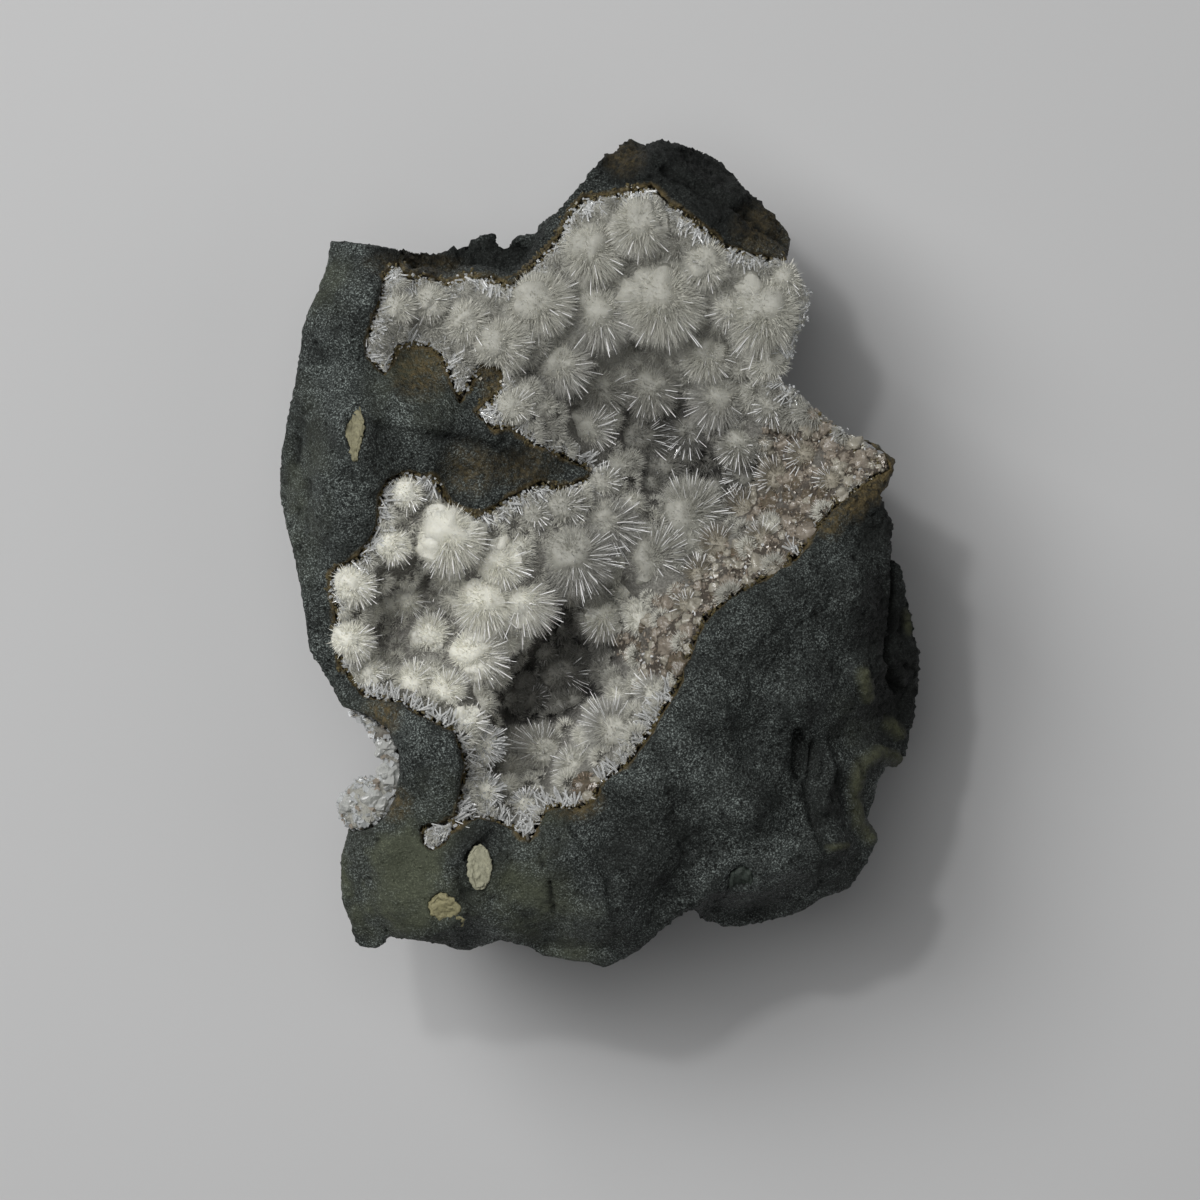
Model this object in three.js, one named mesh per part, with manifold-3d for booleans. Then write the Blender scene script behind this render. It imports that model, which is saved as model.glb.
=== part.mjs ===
// A broken basalt specimen with a crystal-lined hollow, lying on its sawn back.
// Millimetres. +Z is up out of the hollow, +Y runs along the length, and the back is at z = 0.
import * as THREE from "three";
import { mergeVertices } from "three/addons/utils/BufferGeometryUtils.js";
import Module from "manifold-3d";

const wasm = await Module();
wasm.setup();

// Driving dimensions
const FIT_GAP = 0.35; // between a crust or an inset crystal and the stone
const CRUST_THICKNESS = 3.6; // from the stone up to the middle of the crust
const RIM_DEPTH = 2.6; // how far down the crust goes where it meets the broken face
const THINNEST_FLOOR = 6; // stone left under the deepest place
const CLEAR_ABOVE = 60; // top of everything that is cut away
const BACK_SHARE = 0.8; // size of the sawn back, as a share of the outline
const SIDE_ROWS = 7; // rows of facets between the broken face and the back
const SIDE_FACET = 5; // spacing of the facets on the sides
const SIDE_LUMP = 3; // deepest hollow in the sides
const SIDE_CHIP = 2.6; // deepest chip in the sides
const FACE_LUMP = 0.9; // height of the lumps on the broken face
const FACE_CHIP = 0.55; // height of the chips on the broken face
const EDGE_SHARE = 0.55; // least distance of a net's inner point from its edge, as a share of the spacing
const LONGEST = 55; // farthest that a net reaches from the middle
const FACE_FACET = 2.6; // spacing of the facets on the broken face
const FLOOR_FACET = 3.1; // spacing on the stone under the crust
const LOOK_ROUND = 0.65 * FLOOR_FACET; // how far round a place its lowest lining is looked for
const CRUST_FACET = 2; // spacing on the crust
const CRUST_GRAIN = 0.75; // height of the crystal points between the sprays
const DOME_SHARE = 0.72; // radius of a spray's closed middle, as a share of its reach
const WAIST = 0.6; // radius between the points of a large spray, as a share of its reach

// Outline of the stone, clockwise from the upper left
const LEFT_SHOULDER = [
  [-32.5, 37.7], [-29.3, 37.3], [-25.2, 36.4], [-23.3, 36.5], [-18.8, 36.6], [-15.8, 38.4],
  [-13.7, 39.3], [-12.7, 37.6], [-11, 37.2], [-8.4, 39.2],
];
const TOP_CAP = [
  [-5.6, 41], [-2.6, 44.2], [-1.4, 46.2], [1.4, 48.5], [3.4, 50.3], [5, 49.8], [10.8, 49.1],
  [13.8, 47.5], [17.4, 43.9], [22.6, 39.1], [23.3, 37.8], [22.4, 34.9],
];
const RIGHT_OF_HOLLOW = [
  [22, 33], [22.6, 30.5], [21.8, 26.4], [20.5, 23.8], [20.2, 21.8], [23.6, 18.5],
  [27.1, 15.8], [30.7, 13.7], [33, 13],
];
const LOWER_RIGHT = [
  [34.2, 12.2], [35.8, 11.3], [35.2, 9], [33.7, 6.7], [35.2, 3.1], [35.2, 1.2], [37, -4],
  [38.2, -8], [38.9, -11.8], [38.6, -17.2], [37.4, -24.5], [33.2, -27.1], [33.2, -30.2],
  [32, -33], [33.6, -34.8], [32.2, -37.8], [30.2, -40.8], [28, -41.5],
];
const FOOT = [
  [24.4, -43.7], [19.2, -45.1], [15.2, -45.6], [13, -44.9], [11.6, -42.7], [9.4, -43.7],
  [4.8, -48], [0.7, -50.3], [-1.2, -49.5], [-6.6, -49], [-8.6, -47.6], [-12.2, -46.7],
  [-16.2, -48.2], [-21, -46.8], [-25.4, -46.1], [-25.9, -47.4], [-27.8, -48], [-29.4, -47.4],
  [-30.1, -45.4], [-31.4, -41], [-31.2, -36.7], [-30.3, -33.5],
];
const NICHE = [
  [-29.8, -32.5], [-30.5, -30.5], [-29.8, -29.2], [-28.3, -28.3], [-26.2, -27.6],
  [-25.4, -25.5], [-25.9, -23.6], [-27.3, -21.4], [-29, -20], [-31.2, -18.6],
];
const LEFT_SIDE = [
  [-32.4, -16.6], [-35.3, -11.5], [-35.6, -5.8], [-37, -0.7], [-38, 3.2], [-38.9, 7.2],
  [-38.5, 11.6], [-36.7, 20.6], [-36, 25.9], [-33.2, 33.5],
];
const STONE_OUTLINE = [
  ...LEFT_SHOULDER, ...TOP_CAP, ...RIGHT_OF_HOLLOW, ...LOWER_RIGHT, ...FOOT, ...NICHE, ...LEFT_SIDE,
];

// Places on the broken face as [x, y, height]
const FACE_HEIGHTS = [
  // slab left of the hollow
  [-32.4, 37.4, 36], [-36, 24, 36], [-30.6, 27, 42], [-27.5, 31.5, 42], [-29.4, 14.6, 45],
  [-37.8, 12, 35], [-38.6, 7.4, 32], [-36.4, -1, 36], [-32.4, 8.6, 43.5], [-28.5, 12, 44.5],
  [-34.8, -10.6, 36], [-33.4, -5.8, 39], [-32.4, -16.6, 34], [-27, 35.2, 40], [-30.6, 2, 43],
  // tongue of stone that reaches into the hollow
  [-22, 14.6, 42.5], [-14.4, 11.4, 37], [-8.4, 10.2, 33], [-3.4, 9.4, 29], [-17.5, 8.5, 36],
  [-23.4, 18.8, 40.5], [-20, 10.5, 40], [-13.4, 21.4, 34], [-21.6, 22.6, 36],
  // behind the crust at the top left, before the recess is cut
  [-22, 33.5, 39], [-15, 33.5, 38], [-10.5, 33, 37], [-6.6, 37, 34],
  [-25, 36.3, 36], [-23, 36.4, 29], [-20.8, 36.5, 26], [-18.6, 36.6, 25], [-16.4, 37.8, 24],
  [-13.8, 39.2, 24], [-12.4, 37.6, 24], [-10.8, 37.2, 25], [-8.6, 39, 28],
  // cap above the hollow
  [-3.6, 42.6, 34], [0, 46, 33], [3.4, 50, 27], [5.4, 45.8, 38], [10.8, 45, 36], [12, 41, 39],
  [16.8, 39, 38], [19.2, 41, 32], [23, 37.6, 30], [14.4, 47, 27], [21, 36.4, 36],
  // sharp corner at the right
  [31, 13.4, 35], [32.8, 12.6, 38], [35.4, 11.3, 36], [34.1, 8.4, 37], [30.6, 6.4, 40],
  // large slab below the hollow
  [34.2, 2.6, 37], [24, -3.4, 43.5], [18, -8, 45.5], [30, -5.8, 41], [36.4, -4.6, 32],
  [37.6, -10.6, 28], [31.2, -14.2, 38], [38.4, -16.6, 24], [24, -16.6, 43.5], [13.5, -17, 46],
  [11.8, -10, 44.5], [6, -27.4, 46], [16.8, -29.8, 44.5], [26.4, -29.8, 37], [30.6, -26.2, 35],
  [37, -23.2, 24], [32.6, -30, 30], [33.4, -34.9, 30], [27.6, -35.8, 38.5], [21.6, -38, 40],
  [16.8, -40, 39], [13, -40.6, 41],
  // low ledge under the slab
  [14.6, -44, 26], [18.4, -44.3, 27], [24, -42.6, 30], [30, -40.2, 31],
  // foot
  [6, -38.2, 45], [8.8, -42.4, 39], [1.2, -49.6, 35], [0, -42, 44.5], [-5, -48.6, 36],
  [-4.8, -37, 45.5], [-12, -41.8, 43], [-16.2, -47.6, 33], [-14.4, -37.4, 44.5],
  [-18.4, -43, 42.5], [-24, -41.8, 42], [-28.2, -46.8, 34], [-30.8, -39.4, 36],
  [-30, -34.6, 37], [-26.4, -36, 42.5],
  // column between the hollow and the side pocket
  [-23.4, -29.8, 42], [-20, -27.4, 45], [-20.4, -23.2, 45], [-22.4, -21, 43],
  [-26, -19.2, 39], [-29.6, -18.6, 36],
];

// Rim of the hollow, clockwise from the upper left
const RIM_TOP = [
  [-25.8, 33], [-24.2, 34.7], [-22.9, 32.6], [-21, 33.2], [-18.1, 32.2], [-16.6, 32.9],
  [-13.2, 33], [-10.7, 31.9], [-8.3, 34.2], [-5.3, 37.4], [-3.5, 40.8], [-2, 42.5],
  [3.6, 43.3], [6.2, 43.9], [8.4, 41.9], [13.9, 37.9], [14.9, 36.8], [20.4, 35.4],
];
const RIM_FREE_EDGE = [
  [22.8, 35], [23.7, 33.4], [24.7, 32.8], [25.6, 30.9], [24.9, 27.9], [23.5, 25.1],
  [23, 22.5], [21.7, 23.7], [20.6, 22.8], [22.4, 20.9], [25, 18.4], [29, 15.1], [31.9, 13.2],
];
const RIM_RIGHT = [
  [34, 11.9], [34.7, 9.9], [31.4, 7.9], [28.3, 5.5], [25.6, 2.2], [23.5, -0.8], [19.4, -3.4],
  [15.6, -5.6], [12.2, -8.6], [11.2, -11], [9.4, -16.1], [6.2, -21.4], [3.4, -25.3],
  [0.1, -27.6], [-0.5, -29.3], [-2.4, -30.7], [-6.1, -30.7], [-8.4, -34.6],
];
const RIM_LOWER_LEFT = [
  [-10.3, -33], [-14.2, -31.7], [-17, -32.6], [-18.5, -34.8], [-19.9, -35.8], [-21.2, -34.8],
  [-21.4, -32.6], [-19.2, -32.4], [-17.3, -31.6], [-16.7, -28.5], [-16.1, -25.4],
  [-17.4, -21.4], [-22.3, -19.3], [-23.8, -18.1], [-28.3, -17.4], [-31.2, -13.4],
  [-31.7, -7.2], [-32.3, -3], [-31.4, -1.7], [-28.8, -0.5], [-26.6, 3.1], [-26.4, 6.8],
  [-25.4, 8.6], [-23.5, 9.5],
];
const RIM_ROUND_THE_TONGUE = [
  [-19.6, 8.9], [-18.1, 5.5], [-14.4, 4.2], [-11, 6.7], [-7.1, 8.6], [-5, 7.9], [-1.4, 8.9],
  [-1.2, 9.8], [-4.8, 11.6], [-8.4, 13.1], [-10.8, 14.9], [-12.7, 14.6], [-15, 16.6],
  [-12.2, 19.3], [-11.6, 21.1], [-13.4, 24.1], [-15.1, 20.9], [-16.8, 17.8], [-18.8, 23],
  [-20.4, 24.5], [-24, 24.7], [-25.7, 21], [-28, 23.5], [-27.8, 25.7], [-26.3, 30.8],
];
const HOLLOW_RIM = [
  ...RIM_TOP, ...RIM_FREE_EDGE, ...RIM_RIGHT, ...RIM_LOWER_LEFT, ...RIM_ROUND_THE_TONGUE,
];

// Heights of the lining of the hollow as [x, y, height]
const LINING_HEIGHTS = [
  // lobe at the upper left
  [-25.8, 31.4, 39], [-26.4, 26, 41], [-21, 31.4, 38], [-21.6, 26.6, 35], [-15.6, 30.2, 38],
  [-17.3, 20, 38], [-13.2, 26, 35], [-11.4, 17, 35], [-8.4, 14.6, 33], [-8.4, 21.8, 30],
  [-10.8, 29, 35],
  // wall under the cap
  [-2.4, 40.4, 35], [4.8, 42.2, 37], [12, 38, 37], [18, 34.8, 36], [22.8, 33.2, 35],
  [24.4, 30.2, 34], [22.8, 24.2, 31], [0, 36.2, 31], [-4.8, 32.6, 31], [7.2, 32, 30],
  [14.4, 31.4, 32], [18.6, 27.8, 30], [19.2, 23.6, 28], [12, 24.2, 24], [4.8, 25.4, 22],
  [-1.2, 25.4, 24], [-1.2, 19.4, 20],
  // middle of the bowl
  [0, 14.6, 20], [6, 18.2, 17], [12, 18.2, 18], [16.8, 19.4, 22], [21, 20, 26], [24, 18.2, 29],
  [6, 13.4, 14], [12, 9.8, 13], [10.8, 3.8, 18], [4.8, 8.6, 18], [1, 11.6, 23], [16.8, 6.8, 15],
  [19.2, 11, 20], [21.6, 14.6, 25],
  // band along the right
  [24.6, 13.4, 29], [28, 14.4, 33], [31.8, 11, 37], [28.8, 8.6, 36], [24, 6.2, 32],
  [20.4, 2.6, 30], [16.8, -1, 30], [12, -1, 25], [22.2, -0.8, 38], [16.8, -3.8, 39],
  [12, -5.8, 35], [10.4, -9, 39], [7.2, -5.8, 28], [6, -10.6, 33], [9, -13.2, 40],
  [6, -16.6, 35], [3, -15.4, 24], [3.6, -10.6, 27],
  // deep hole
  [0.4, -11.8, 15], [-3.6, -11.8, 11], [-6, -16.6, 10], [-9.6, -18.6, 12], [-1.2, -17, 13],
  [-4.2, -8.2, 15], [1.2, -7.6, 20], [-9, -15.4, 14], [-8.4, -22.6, 15],
  // shelf across the middle
  [-3.6, 5.6, 31], [-8.4, 4.4, 33], [0.6, 6.8, 30], [3, 2.8, 27], [-4.8, -1, 31],
  [4.8, -1.4, 28], [0, -4.8, 23], [-10.8, -1, 33], [-7.8, -6, 26], [-14.4, -1, 35],
  [-18, 2.6, 36], [-22.8, 7.2, 39], [-24, 3.8, 38], [-25, 0.2, 37],
  // lobe at the lower left
  [-30, -3.4, 38], [-30.2, -8.2, 38], [-29.4, -12.4, 36], [-26.4, -9.4, 28], [-25, -5.8, 25],
  [-19.2, -4, 26], [-19.2, -8.2, 27], [-14.4, -5.8, 34], [-12, -10.6, 29], [-16.8, -11.8, 31],
  [-25.2, -13.6, 29], [-22.4, -15.4, 32], [-19.2, -17.8, 34], [-15.6, -20.4, 35],
  [-14.6, -23.2, 33], [-11.4, -20.2, 20], [-12, -25, 20],
  // below the deep hole
  [-15, -28.6, 36], [-12, -28.6, 29], [-9.6, -31, 33], [-7.8, -27.4, 21], [-5.4, -23.8, 23],
  [0, -22.6, 32], [3.4, -22.4, 39], [-2.4, -28, 39], [-19.9, -34.3, 40],
];

// Sprays of needles as [x, y, reach]: the large ones stand out of the crust with separate points
const LARGE_SPRAYS = [
  [7.6, 30.2, 5.2], [17.4, 30, 4.4], [12, 24.5, 4.8], [-6.6, 30.2, 4.2], [0, 19.7, 4.2],
  [14.4, 19.4, 4.2], [-0.6, 13.4, 3.8], [10.8, 4.4, 5.3], [6, -1.2, 4.8], [-3.6, -1.4, 4.6],
  [-10, -2.2, 4.4], [-17.8, 1.4, 5], [-14.4, -12.4, 4.3], [-15.2, -20.6, 2.8], [1.2, -21.3, 4.3],
];
const SPRAYS = [
  ...LARGE_SPRAYS,
  [4.8, 39.4, 4.2], [-1, 36.6, 4.3], [14, 34, 4.4], [22.2, 31.2, 3.3], [19, 24.6, 4.1],
  [0, 29, 4.8], [-4.8, 24.2, 4.3], [-20.4, 30, 3.1], [-24, 29, 2.9], [-15.6, 27.6, 3.8],
  [-12, 24.4, 3.6], [-9.6, 17.6, 3.4], [6, 20.4, 4.3], [5.8, 12.6, 4.1], [18.6, 14.6, 3.4],
  [21, 18.2, 2.8], [17.4, 9.8, 2.9], [1.6, 6.2, 4.1], [-4.2, 4.2, 3.4], [-25, 0.6, 3.1],
  [-23, 7, 2.4], [-29.2, -3.9, 3.2], [-29.4, -9.6, 3.4], [-20.4, -10, 2.9],
  [-14.2, -5.8, 4.6], [-9, -7, 4.3], [-22.3, -15.2, 2.9], [-17.8, -16.8, 3], [-23.4, -5.8, 2.9],
  [-4.8, -14.4, 3.6], [0.6, -8, 3], [-6.6, -23.8, 3.6], [6.2, -17.4, 3.2], [-13.8, -28.6, 2.7],
  [-9, -30.6, 2.2], [-3, -25.6, 2.6],
];
const SPRAY_LIFT = 0.15; // how far the middle of a spray sits above the lining, as a share of its reach

// Small pocket of crystals in the left edge
const POCKET_RIM = [
  [-29.6, -33.6], [-27.1, -32.9], [-25.4, -31.4], [-24.3, -29.2], [-23.8, -26.4],
  [-23.9, -23.6], [-25, -21.4], [-27.2, -19.9], [-29.4, -18.9], [-30.4, -19.4], [-28.6, -20.5],
  [-27.6, -22], [-26.6, -23.2], [-26, -25.6], [-26.6, -27], [-29, -27.2], [-30.6, -28.6],
  [-31.6, -30.2], [-31.6, -31.4], [-30.4, -32.6],
];
const POCKET_HEIGHTS = [
  [-28.4, -19.8, 36], [-25.6, -22.4, 37], [-24.8, -25.6, 37], [-26.4, -29, 37],
  [-30.4, -30.4, 33], [-28, -31.8, 37],
];
const POCKET_FLOOR = 24;
const POCKET_SPRAYS = [
  [-25.4, -23.2, 1.7], [-25.8, -27, 1.9], [-28.2, -29.6, 2], [-30, -30.6, 1.8],
];

// Shadowed recess behind the crust at the top left
const RECESS_RIM = [
  [-25.4, 36.9], [-24, 36], [-22.6, 33.8], [-21, 34.4], [-18.1, 33.4], [-16.6, 34.1],
  [-13.2, 34.2], [-10.9, 33.2], [-9.2, 35.2], [-7.6, 37.4], [-7.2, 41.5], [-14, 42], [-24, 40],
];
const RECESS_HEIGHTS = [
  [-24.4, 36.4, 33], [-21, 36.2, 25.4], [-18.4, 36.2, 24.4], [-15.6, 36, 22.5], [-13.7, 38.9, 23.4],
  [-10.8, 35.6, 22.5], [-8, 38, 26.6],
];

// Narrow gash in the slab below the hollow
const GASH_RIM = [
  [23.4, -20.8], [24.4, -21.4], [24.6, -24.6], [23.9, -27.6], [23.2, -26.4], [22.9, -23.2],
];
const GASH_FLOOR = 36;

// Filled gas bubbles that show on the broken face
const LATH = [[-28.6, 17.2], [-28.1, 15.7], [-28.3, 14.4], [-29.1, 10.8], [-30, 14.4], [-29.4, 16]];
const LATH_MIDDLE = [-29.1, 14.4];
const OVAL_MIDDLE = [-14.3, -37.5];
const CLUSTER = [
  [-19, -40.9], [-17.6, -41.5], [-16.6, -42.7], [-17.1, -43.1], [-16.2, -43.8], [-16.4, -44.5],
  [-18, -44.4], [-18.8, -45.5], [-19.6, -45.3], [-19.3, -43.8], [-19.9, -43], [-20.2, -41.9],
];
const CLUSTER_MIDDLE = [-18.4, -43.2];
const GREEN_MIDDLE = [16.9, -40];
const INSET_DEPTH = 1.6;
const INSET_PROUD = 0.25;

// Finishes
function stoneFinish() {
  return new THREE.MeshStandardMaterial({ color: 0x3a4240, roughness: 0.85, metalness: 0 });
}

function crustFinish() {
  return new THREE.MeshStandardMaterial({ color: 0xd9d8d2, roughness: 0.35, metalness: 0 });
}

function insetFinish(color) {
  return new THREE.MeshStandardMaterial({ color, roughness: 0.6, metalness: 0 });
}

// A repeatable value from 0 to 1 for a numbered place.
function scatter(column, row, seed) {
  let mixed = Math.imul(column, 374761393) + Math.imul(row, 668265263) + Math.imul(seed, 974711);
  mixed = Math.imul(mixed ^ (mixed >>> 13), 1274126177);
  return ((mixed ^ (mixed >>> 16)) >>> 0) / 4294967296;
}

// Smooth unevenness from -1 to 1 with lumps of the given size.
function unevenness(x, y, size, seed) {
  const column = Math.floor(x / size);
  const row = Math.floor(y / size);
  const across = THREE.MathUtils.smoothstep(x / size - column, 0, 1);
  const along = THREE.MathUtils.smoothstep(y / size - row, 0, 1);
  const near = THREE.MathUtils.lerp(
    scatter(column, row, seed), scatter(column + 1, row, seed), across);
  const far = THREE.MathUtils.lerp(
    scatter(column, row + 1, seed), scatter(column + 1, row + 1, seed), across);
  return 2 * THREE.MathUtils.lerp(near, far, along) - 1;
}

// Height at a place, drawn from the stated places around it: the nearest ones count most.
function heightFrom(places, x, y) {
  let total = 0;
  let weights = 0;
  for (const [px, py, height] of places) {
    const weight = 1 / (Math.hypot(x - px, y - py) ** 3 + 0.4);
    total += weight * height;
    weights += weight;
  }
  return total / weights;
}

// A closed outline cut into steps no longer than the given one, with its corners kept.
function steppedOutline(corners, step) {
  const points = [];
  corners.forEach(([x, y], index) => {
    const [nextX, nextY] = corners[(index + 1) % corners.length];
    const steps = Math.max(1, Math.round(Math.hypot(nextX - x, nextY - y) / step));
    for (let i = 0; i < steps; i++) {
      points.push([x + ((nextX - x) * i) / steps, y + ((nextY - y) * i) / steps]);
    }
  });
  return points;
}

// Whether a place lies inside a closed outline.
function isInside(outline, x, y) {
  let inside = false;
  outline.forEach(([ax, ay], index) => {
    const [bx, by] = outline[(index + 1) % outline.length];
    if (ay > y !== by > y && x < ((bx - ax) * (y - ay)) / (by - ay) + ax) inside = !inside;
  });
  return inside;
}

// Shortest distance from a place to a closed outline.
function distanceTo(outline, x, y) {
  let nearest = Infinity;
  outline.forEach(([ax, ay], index) => {
    const [bx, by] = outline[(index + 1) % outline.length];
    const squared = (bx - ax) ** 2 + (by - ay) ** 2;
    const share = ((x - ax) * (bx - ax) + (y - ay) * (by - ay)) / squared;
    const along = THREE.MathUtils.clamp(share, 0, 1);
    nearest = Math.min(nearest, Math.hypot(ax + (bx - ax) * along - x, ay + (by - ay) * along - y));
  });
  return nearest;
}

// Uneven rows of places inside an outline, clear of its edge.
function innerPlaces(outline, spacing) {
  const places = [];
  const rowHeight = spacing * Math.sqrt(0.75);
  for (let row = Math.ceil(-LONGEST / rowHeight); row * rowHeight < LONGEST; row++) {
    for (let column = Math.ceil(-LONGEST / spacing); column * spacing < LONGEST; column++) {
      const x = (column + (row % 2 ? 0.5 : 0) + 0.4 * (scatter(column, row, 1) - 0.5)) * spacing;
      const y = row * rowHeight + 0.4 * (scatter(column, row, 2) - 0.5) * spacing;
      if (isInside(outline, x, y) && distanceTo(outline, x, y) > EDGE_SHARE * spacing) places.push([x, y]);
    }
  }
  return places;
}

// Circle through three points, as its middle and the square of its radius.
function circleThrough([ax, ay], [bx, by], [cx, cy]) {
  const d = 2 * (ax * (by - cy) + bx * (cy - ay) + cx * (ay - by));
  const a = ax * ax + ay * ay;
  const b = bx * bx + by * by;
  const c = cx * cx + cy * cy;
  const x = (a * (by - cy) + b * (cy - ay) + c * (ay - by)) / d;
  const y = (a * (cx - bx) + b * (ax - cx) + c * (bx - ax)) / d;
  return { x, y, squared: (x - ax) ** 2 + (y - ay) ** 2 };
}

// Triangles with no point inside the circle through another three.
function evenTriangles(points) {
  const far = 1000;
  const all = [...points, [-far, -far], [far, -far], [0, far]];
  const first = points.length;
  const triangle = (corners) => ({ corners, circle: circleThrough(...corners.map((i) => all[i])) });
  let triangles = [triangle([first, first + 1, first + 2])];
  points.forEach(([x, y], index) => {
    const edges = new Map();
    const kept = [];
    for (const old of triangles) {
      if ((old.circle.x - x) ** 2 + (old.circle.y - y) ** 2 > old.circle.squared) {
        kept.push(old);
        continue;
      }
      old.corners.forEach((start, i) => {
        const end = old.corners[(i + 1) % 3];
        if (!edges.delete(`${end},${start}`)) edges.set(`${start},${end}`, [start, end]);
      });
    }
    for (const [start, end] of edges.values()) kept.push(triangle([start, end, index]));
    triangles = kept;
  });
  return triangles.map((t) => t.corners).filter((corners) => corners.every((i) => i < first));
}

// A net of triangles over an outline. The outline's own points come first, in order.
function netOver(corners, spacing) {
  let outline = steppedOutline(corners, spacing * 0.85);
  for (;;) {
    const points = [...outline, ...innerPlaces(outline, spacing)];
    const triangles = evenTriangles(points).filter((corners3) => {
      const [a, b, c] = corners3.map((i) => points[i]);
      return isInside(outline, (a[0] + b[0] + c[0]) / 3, (a[1] + b[1] + c[1]) / 3);
    });
    const edges = new Set();
    for (const t of triangles) t.forEach((start, i) => edges.add(`${start},${t[(i + 1) % 3]}`));
    const missing = (i, next) => !edges.has(`${i},${next}`) && !edges.has(`${next},${i}`);
    const finer = outline.flatMap(([x, y], i) => {
      const next = (i + 1) % outline.length;
      const middle = [(x + outline[next][0]) / 2, (y + outline[next][1]) / 2];
      return missing(i, next) ? [[x, y], middle] : [[x, y]];
    });
    if (finer.length === outline.length) return { outline, points, triangles };
    outline = finer;
  }
}

// A closed solid from loose points and triangles.
function solidFrom(points, triangles) {
  return new wasm.Manifold(new wasm.Mesh({
    numProp: 3,
    vertProperties: new Float32Array(points.flat()),
    triVerts: new Uint32Array(triangles.flat()),
  }));
}

// The strip of triangles between two loops of the same length, the first one above the other.
function strip(count, upper, lower) {
  const triangles = [];
  for (let i = 0; i < count; i++) {
    const next = (i + 1) % count;
    triangles.push([upper + i, upper + next, lower + next], [upper + i, lower + next, lower + i]);
  }
  return triangles;
}

// Whether the loop runs clockwise seen from above.
function isClockwise(outline) {
  return THREE.ShapeUtils.area(outline.map(([x, y]) => new THREE.Vector2(x, y))) < 0;
}

// A solid over a net, from the height below to the height above at each point.
function slabOver(net, placeBelow, placeAbove) {
  const count = net.points.length;
  const above = net.points.map(placeAbove);
  const below = net.points.map(placeBelow);
  const upward = net.triangles;
  const downward = upward.map(([a, b, c]) => [a + count, c + count, b + count]);
  const walls = strip(net.outline.length, 0, count);
  const facing = isClockwise(net.outline) ? walls : walls.map(([a, b, c]) => [a, c, b]);
  return solidFrom([...above, ...below], [...upward, ...downward, ...facing]);
}

// Height of the broken face, with its lumps and chips.
function faceHeight(x, y) {
  const lumps = FACE_LUMP * unevenness(x, y, 9, 3) + FACE_CHIP * unevenness(x, y, 3.7, 4);
  return heightFrom(FACE_HEIGHTS, x, y) + lumps;
}

// The outline with its small corners rounded off.
function roundedOutline(outline) {
  const reach = 3;
  return outline.map((_, index) => {
    const near = [];
    for (let i = -reach; i <= reach; i++) {
      near.push(outline[(index + i + outline.length) % outline.length]);
    }
    const mean = (axis) => near.reduce((sum, point) => sum + point[axis], 0) / near.length;
    return [mean(0), mean(1)];
  });
}

// A point of the side, a share of the way down from the broken face to the sawn back.
function sidePoint([x, y, top], [roundX, roundY], down) {
  const rounding = THREE.MathUtils.smoothstep(down, 0, 0.5);
  const sideX = THREE.MathUtils.lerp(x, roundX, rounding);
  const sideY = THREE.MathUtils.lerp(y, roundY, rounding);
  const height = top * (1 - down);
  const radius = Math.hypot(sideX, sideY);
  const round = radius * Math.atan2(sideY, sideX);
  const lump = 0.5 + 0.5 * unevenness(round, height, 12, 11);
  const chip = 0.5 + 0.5 * unevenness(round, height, 6, 5);
  const inward = Math.min(1, 3 * down) * (SIDE_LUMP * lump + SIDE_CHIP * chip);
  const drawnIn = (1 - (1 - BACK_SHARE) * down ** 1.7) * (1 - inward / radius);
  return [sideX * drawnIn, sideY * drawnIn, height];
}

// The point a distance along a closed loop of points, and its place in the rounded loop.
function pointAlong(loop, rounded, lengths, distance) {
  let index = 0;
  while (index < loop.length - 1 && lengths[index + 1] <= distance) index++;
  const next = (index + 1) % loop.length;
  const share = (distance - lengths[index]) / (lengths[index + 1] - lengths[index]);
  const between = (a, b) => a.map((value, axis) => THREE.MathUtils.lerp(value, b[axis], share));
  return [between(loop[index], loop[next]), between(rounded[index], rounded[next])];
}

// Adds the sides under the loop of the first points. Gives the triangles and the loop of the back.
function addSides(points, count) {
  const loop = points.slice(0, count);
  const rounded = roundedOutline(loop);
  const lengths = [0];
  loop.forEach(([x, y], i) => {
    const [nextX, nextY] = loop[(i + 1) % count];
    lengths.push(lengths[i] + Math.hypot(nextX - x, nextY - y));
  });
  const around = lengths[count];
  const columns = Math.round(around / SIDE_FACET);
  const unrolled = lengths.map((along) => [along, 0]);
  const owners = lengths.map((_, i) => i % count);
  const back = [];
  for (let row = 1; row <= SIDE_ROWS; row++) {
    const isBack = row === SIDE_ROWS;
    for (let column = 0; column < columns; column++) {
      const loose = isBack || column === 0 ? 0 : 0.5;
      const shift = column === 0 ? 0 : (row % 2) * 0.5 + loose * (scatter(column, row, 12) - 0.5);
      const along = ((column + shift) * around) / columns;
      const down = (row + loose * (scatter(column, row, 13) - 0.5)) / SIDE_ROWS;
      const [top, round] = pointAlong(loop, rounded, lengths, along);
      if (isBack) back.push(points.length);
      unrolled.push([along, down * SIDE_ROWS * SIDE_FACET]);
      owners.push(points.length);
      if (column === 0) {
        unrolled.push([around, down * SIDE_ROWS * SIDE_FACET]);
        owners.push(points.length);
      }
      points.push(sidePoint(top, round, down));
    }
  }
  const triangles = evenTriangles(unrolled)
    .filter((corners) => Math.abs(turnOf(...corners.map((i) => unrolled[i]))) > 1e-6)
    .map((corners) => corners.map((i) => owners[i]));
  return { triangles, back };
}

// Twice the area of a triangle seen from above, above zero where it runs anticlockwise.
function turnOf([ax, ay], [bx, by], [cx, cy]) {
  return (bx - ax) * (cy - ay) - (by - ay) * (cx - ax);
}

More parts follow.
